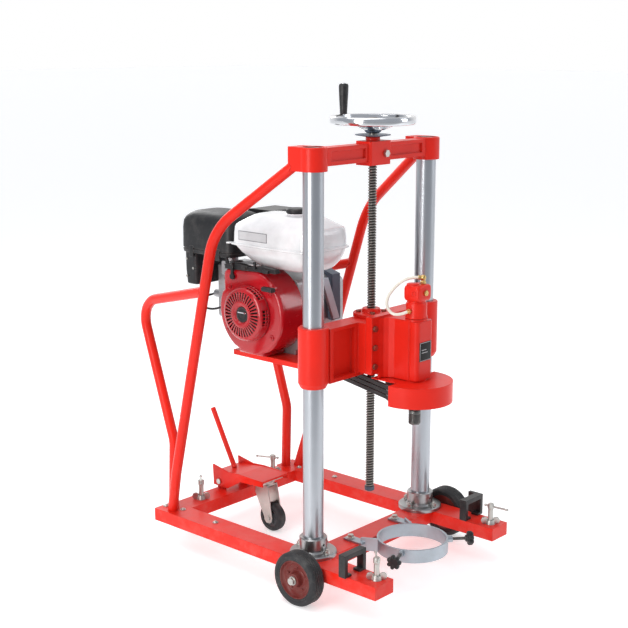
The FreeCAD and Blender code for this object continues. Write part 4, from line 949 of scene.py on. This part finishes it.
def engine_bolts():
    """Bolt heads on the gearbox's round boss, on its case and on the cylinder head."""
    boss_x, case_x, head_y = 195.5, 187.5, 595.5
    bolts = []
    for k in range(6):
        y, z = around(44, 60 * k)
        bolts.append(hexagon("bolt", 5, (boss_x, y, z), (boss_x + 4, y, z)))
    for y in (284, 378):
        bolts += [hexagon("bolt", 5, (case_x, y, z), (case_x + 4, y, z)) for z in (592, 760)]
    for x in (-44, 66):
        bolts += [hexagon("bolt", 6, (x, head_y, z), (x, head_y + 5.5, z)) for z in (644, 796)]
    return merge("engine_bolts", *bolts)


def muffler_louvres():
    """Seven ribs on the muffler's rear face and seven on its left."""
    ribs = []
    for low in range(884, 957, 12):
        ribs.append(box("rib", (76, 579.4, low), (162, 582.6, low + 4), 1))
    for low in range(884, 957, 12):
        ribs.append(box("rib", (59.4, 464, low), (62.6, 564, low + 4), 1))
    return merge("muffler_louvres", *ribs)


def side_brace():
    """A slanted flat bar from under the tank down to the platform."""
    corners = [spot(x, y, z) for y in (206, 196) for x, z in ((2, 798), (30, 798), (84, 664), (56, 664))]
    faces = [(0, 1, 2, 3), (7, 6, 5, 4), (4, 5, 1, 0), (5, 6, 2, 1), (6, 7, 3, 2), (7, 4, 0, 3)]
    return mesh_from("side_brace", corners, faces)


def side_slab():
    outline = [(202.5, 660), (207, 657), (251.5, 665), (248, 810), (244, 815), (204.5, 803)]
    return prism("side_slab", outline, 58.5, 37)


def rocker_cover():
    return box("rocker_cover", (0, 595, 655), (56, 603, 785), 3)


piece("control_panel", control_panel(), black_plastic, "carriage")
piece("engine_bolts", engine_bolts(), zinc, "carriage")
piece("rocker_cover", rocker_cover(), dark_steel, "carriage")
piece("muffler_louvres", muffler_louvres(), dark_steel, "carriage")
piece("side_slab", side_slab(), slab_grey, "carriage")
piece("side_brace", side_brace(), ring_metal, "carriage")


# ------------------------------------------------------------------ column caps

COLUMN_X = 258
COLUMN_TOP = 1223.4    # where the caps' flat undersides lie


def column_cap(side):
    """A round black cap with a raised bar across it."""
    profile = [(0, 0), (27, 0), (28, 0.8), (27.4, 2.2), (25, 2.6), (0, 2.6)]
    name = f"column_cap_{side}"
    cap = lathe(name, profile, spot(side * COLUMN_X, 0, COLUMN_TOP), segments=64)
    piece(name, cap, black_plastic, "frame")
    low, high = COLUMN_TOP + 2.2, COLUMN_TOP + 3.2
    bar = box("cap_bar", (side * COLUMN_X - 3, -20, low), (side * COLUMN_X + 3, 20, high), 0.3)
    piece(f"column_cap_bar_{side}", bar, zinc, "frame")


column_cap(-1)
column_cap(1)


# ------------------------------------------------------------------ label plate on the drill head

FACE_Y = SPINDLE_Y - 34    # the drill head's front face


def plate_border():
    """A frame of four bars, and two short bars where the lettering would be."""
    bars = [(-26, 26, 609, 610.4), (-26, 26, 661.6, 663), (-26, -24.6, 609, 663), (24.6, 26, 609, 663),
            (-18, 4, 640, 642), (-18, 10, 632, 634)]
    return merge("plate_border", *[box("bar", (x0, FACE_Y - 1.6, z0), (x1, FACE_Y - 1.0, z1), 0.2)
                                   for x0, x1, z0, z1 in bars])


piece("blank_plate", box("blank_plate", (-27, FACE_Y - 1.2, 608), (27, FACE_Y + 0.4, 664), 0.5), plate_black,
      "carriage")
piece("plate_border", plate_border(), decal_grey, "carriage")


# ------------------------------------------------------------------ floor and light

HEADING = (0.745, 0.667)    # the way the camera looks, over the floor


def floor_paint():
    """A floor in painted light: it is painted greyer on the near side and glows more on the far side, so it
    fades to the white background.
    """
    n = Nodes("floor")
    where = n.node("ShaderNodeSeparateXYZ")
    n.join(n.place, where.inputs[0])
    along = n.math("ADD", n.math("MULTIPLY", where.outputs["X"], HEADING[0]),
                   n.math("MULTIPLY", where.outputs["Y"], HEADING[1]))
    far = n.math("ADD", n.math("MULTIPLY", along, 1 / 3), 1, clamp=True)
    tint = n.ramp(far, [(0.35, (0.50, 0.51, 0.52)), (0.68, (0.81, 0.81, 0.81))])
    material = n.finish(tint, 0.55, None, specular=0.2)
    # painted light: the floor's emission makes it glow, more on the far side
    n.shader.inputs["Emission Color"].default_value = (1, 1, 1, 1)
    n.join(n.ramp(far, [(0.35, 0.14), (0.68, 0.46)]), n.shader.inputs["Emission Strength"])
    return material


def floor():
    mesh = mesh_from("floor", [(-60, -60, 0), (60, -60, 0), (60, 60, 0), (-60, 60, 0)], [[0, 1, 2, 3]])
    mesh.materials.append(floor_paint())
    obj = bpy.data.objects.new("floor", mesh)
    bpy.context.collection.objects.link(obj)


def studio():
    """A room that is grey behind the camera and white behind the machine."""
    world = bpy.data.worlds.new("studio")
    bpy.context.scene.world = world
    world.use_nodes = True
    sky = world.node_tree
    aim = sky.nodes.new("ShaderNodeVectorMath")
    aim.operation = "DOT_PRODUCT"
    sky.links.new(sky.nodes.new("ShaderNodeTexCoord").outputs["Generated"], aim.inputs[0])
    aim.inputs[1].default_value = (*HEADING, 0)
    shade = sky.nodes.new("ShaderNodeValToRGB")
    near, far = shade.color_ramp.elements
    near.position, near.color = 0.30, (0.46, 0.48, 0.52, 1)
    far.position, far.color = 0.72, (1, 1, 1, 1)
    sky.links.new(aim.outputs["Value"], shade.inputs["Fac"])
    sky.links.new(shade.outputs["Color"], sky.nodes["Background"].inputs["Color"])
    sky.nodes["Background"].inputs["Strength"].default_value = 1.0


def softbox(name, place, target, power, width, height, colour=(1, 1, 1)):
    light = bpy.data.lights.new(name, "AREA")
    light.shape = "RECTANGLE"
    light.size, light.size_y = width, height
    light.energy = power
    light.color = colour
    obj = bpy.data.objects.new(name, light)
    bpy.context.collection.objects.link(obj)
    obj.location = place
    obj.rotation_euler = (Vector(target) - Vector(place)).to_track_quat("-Z", "Y").to_euler()


floor()
studio()
softbox("key", (-3.9, -0.3, 1.7), (0, 0, 0.8), 95, 1.3, 3.2, (1, 0.98, 0.95))
softbox("fill", (2.8, -3.4, 2.4), (0, 0, 0.8), 42, 1.4, 2.4, (0.94, 0.97, 1))
softbox("top", (-0.8, 0.2, 4.2), (0, 0, 0.3), 72, 3.0, 3.0)
softbox("back", (1.5, 3.6, 2.6), (0, 0, 0.8), 30, 1.6, 1.6)
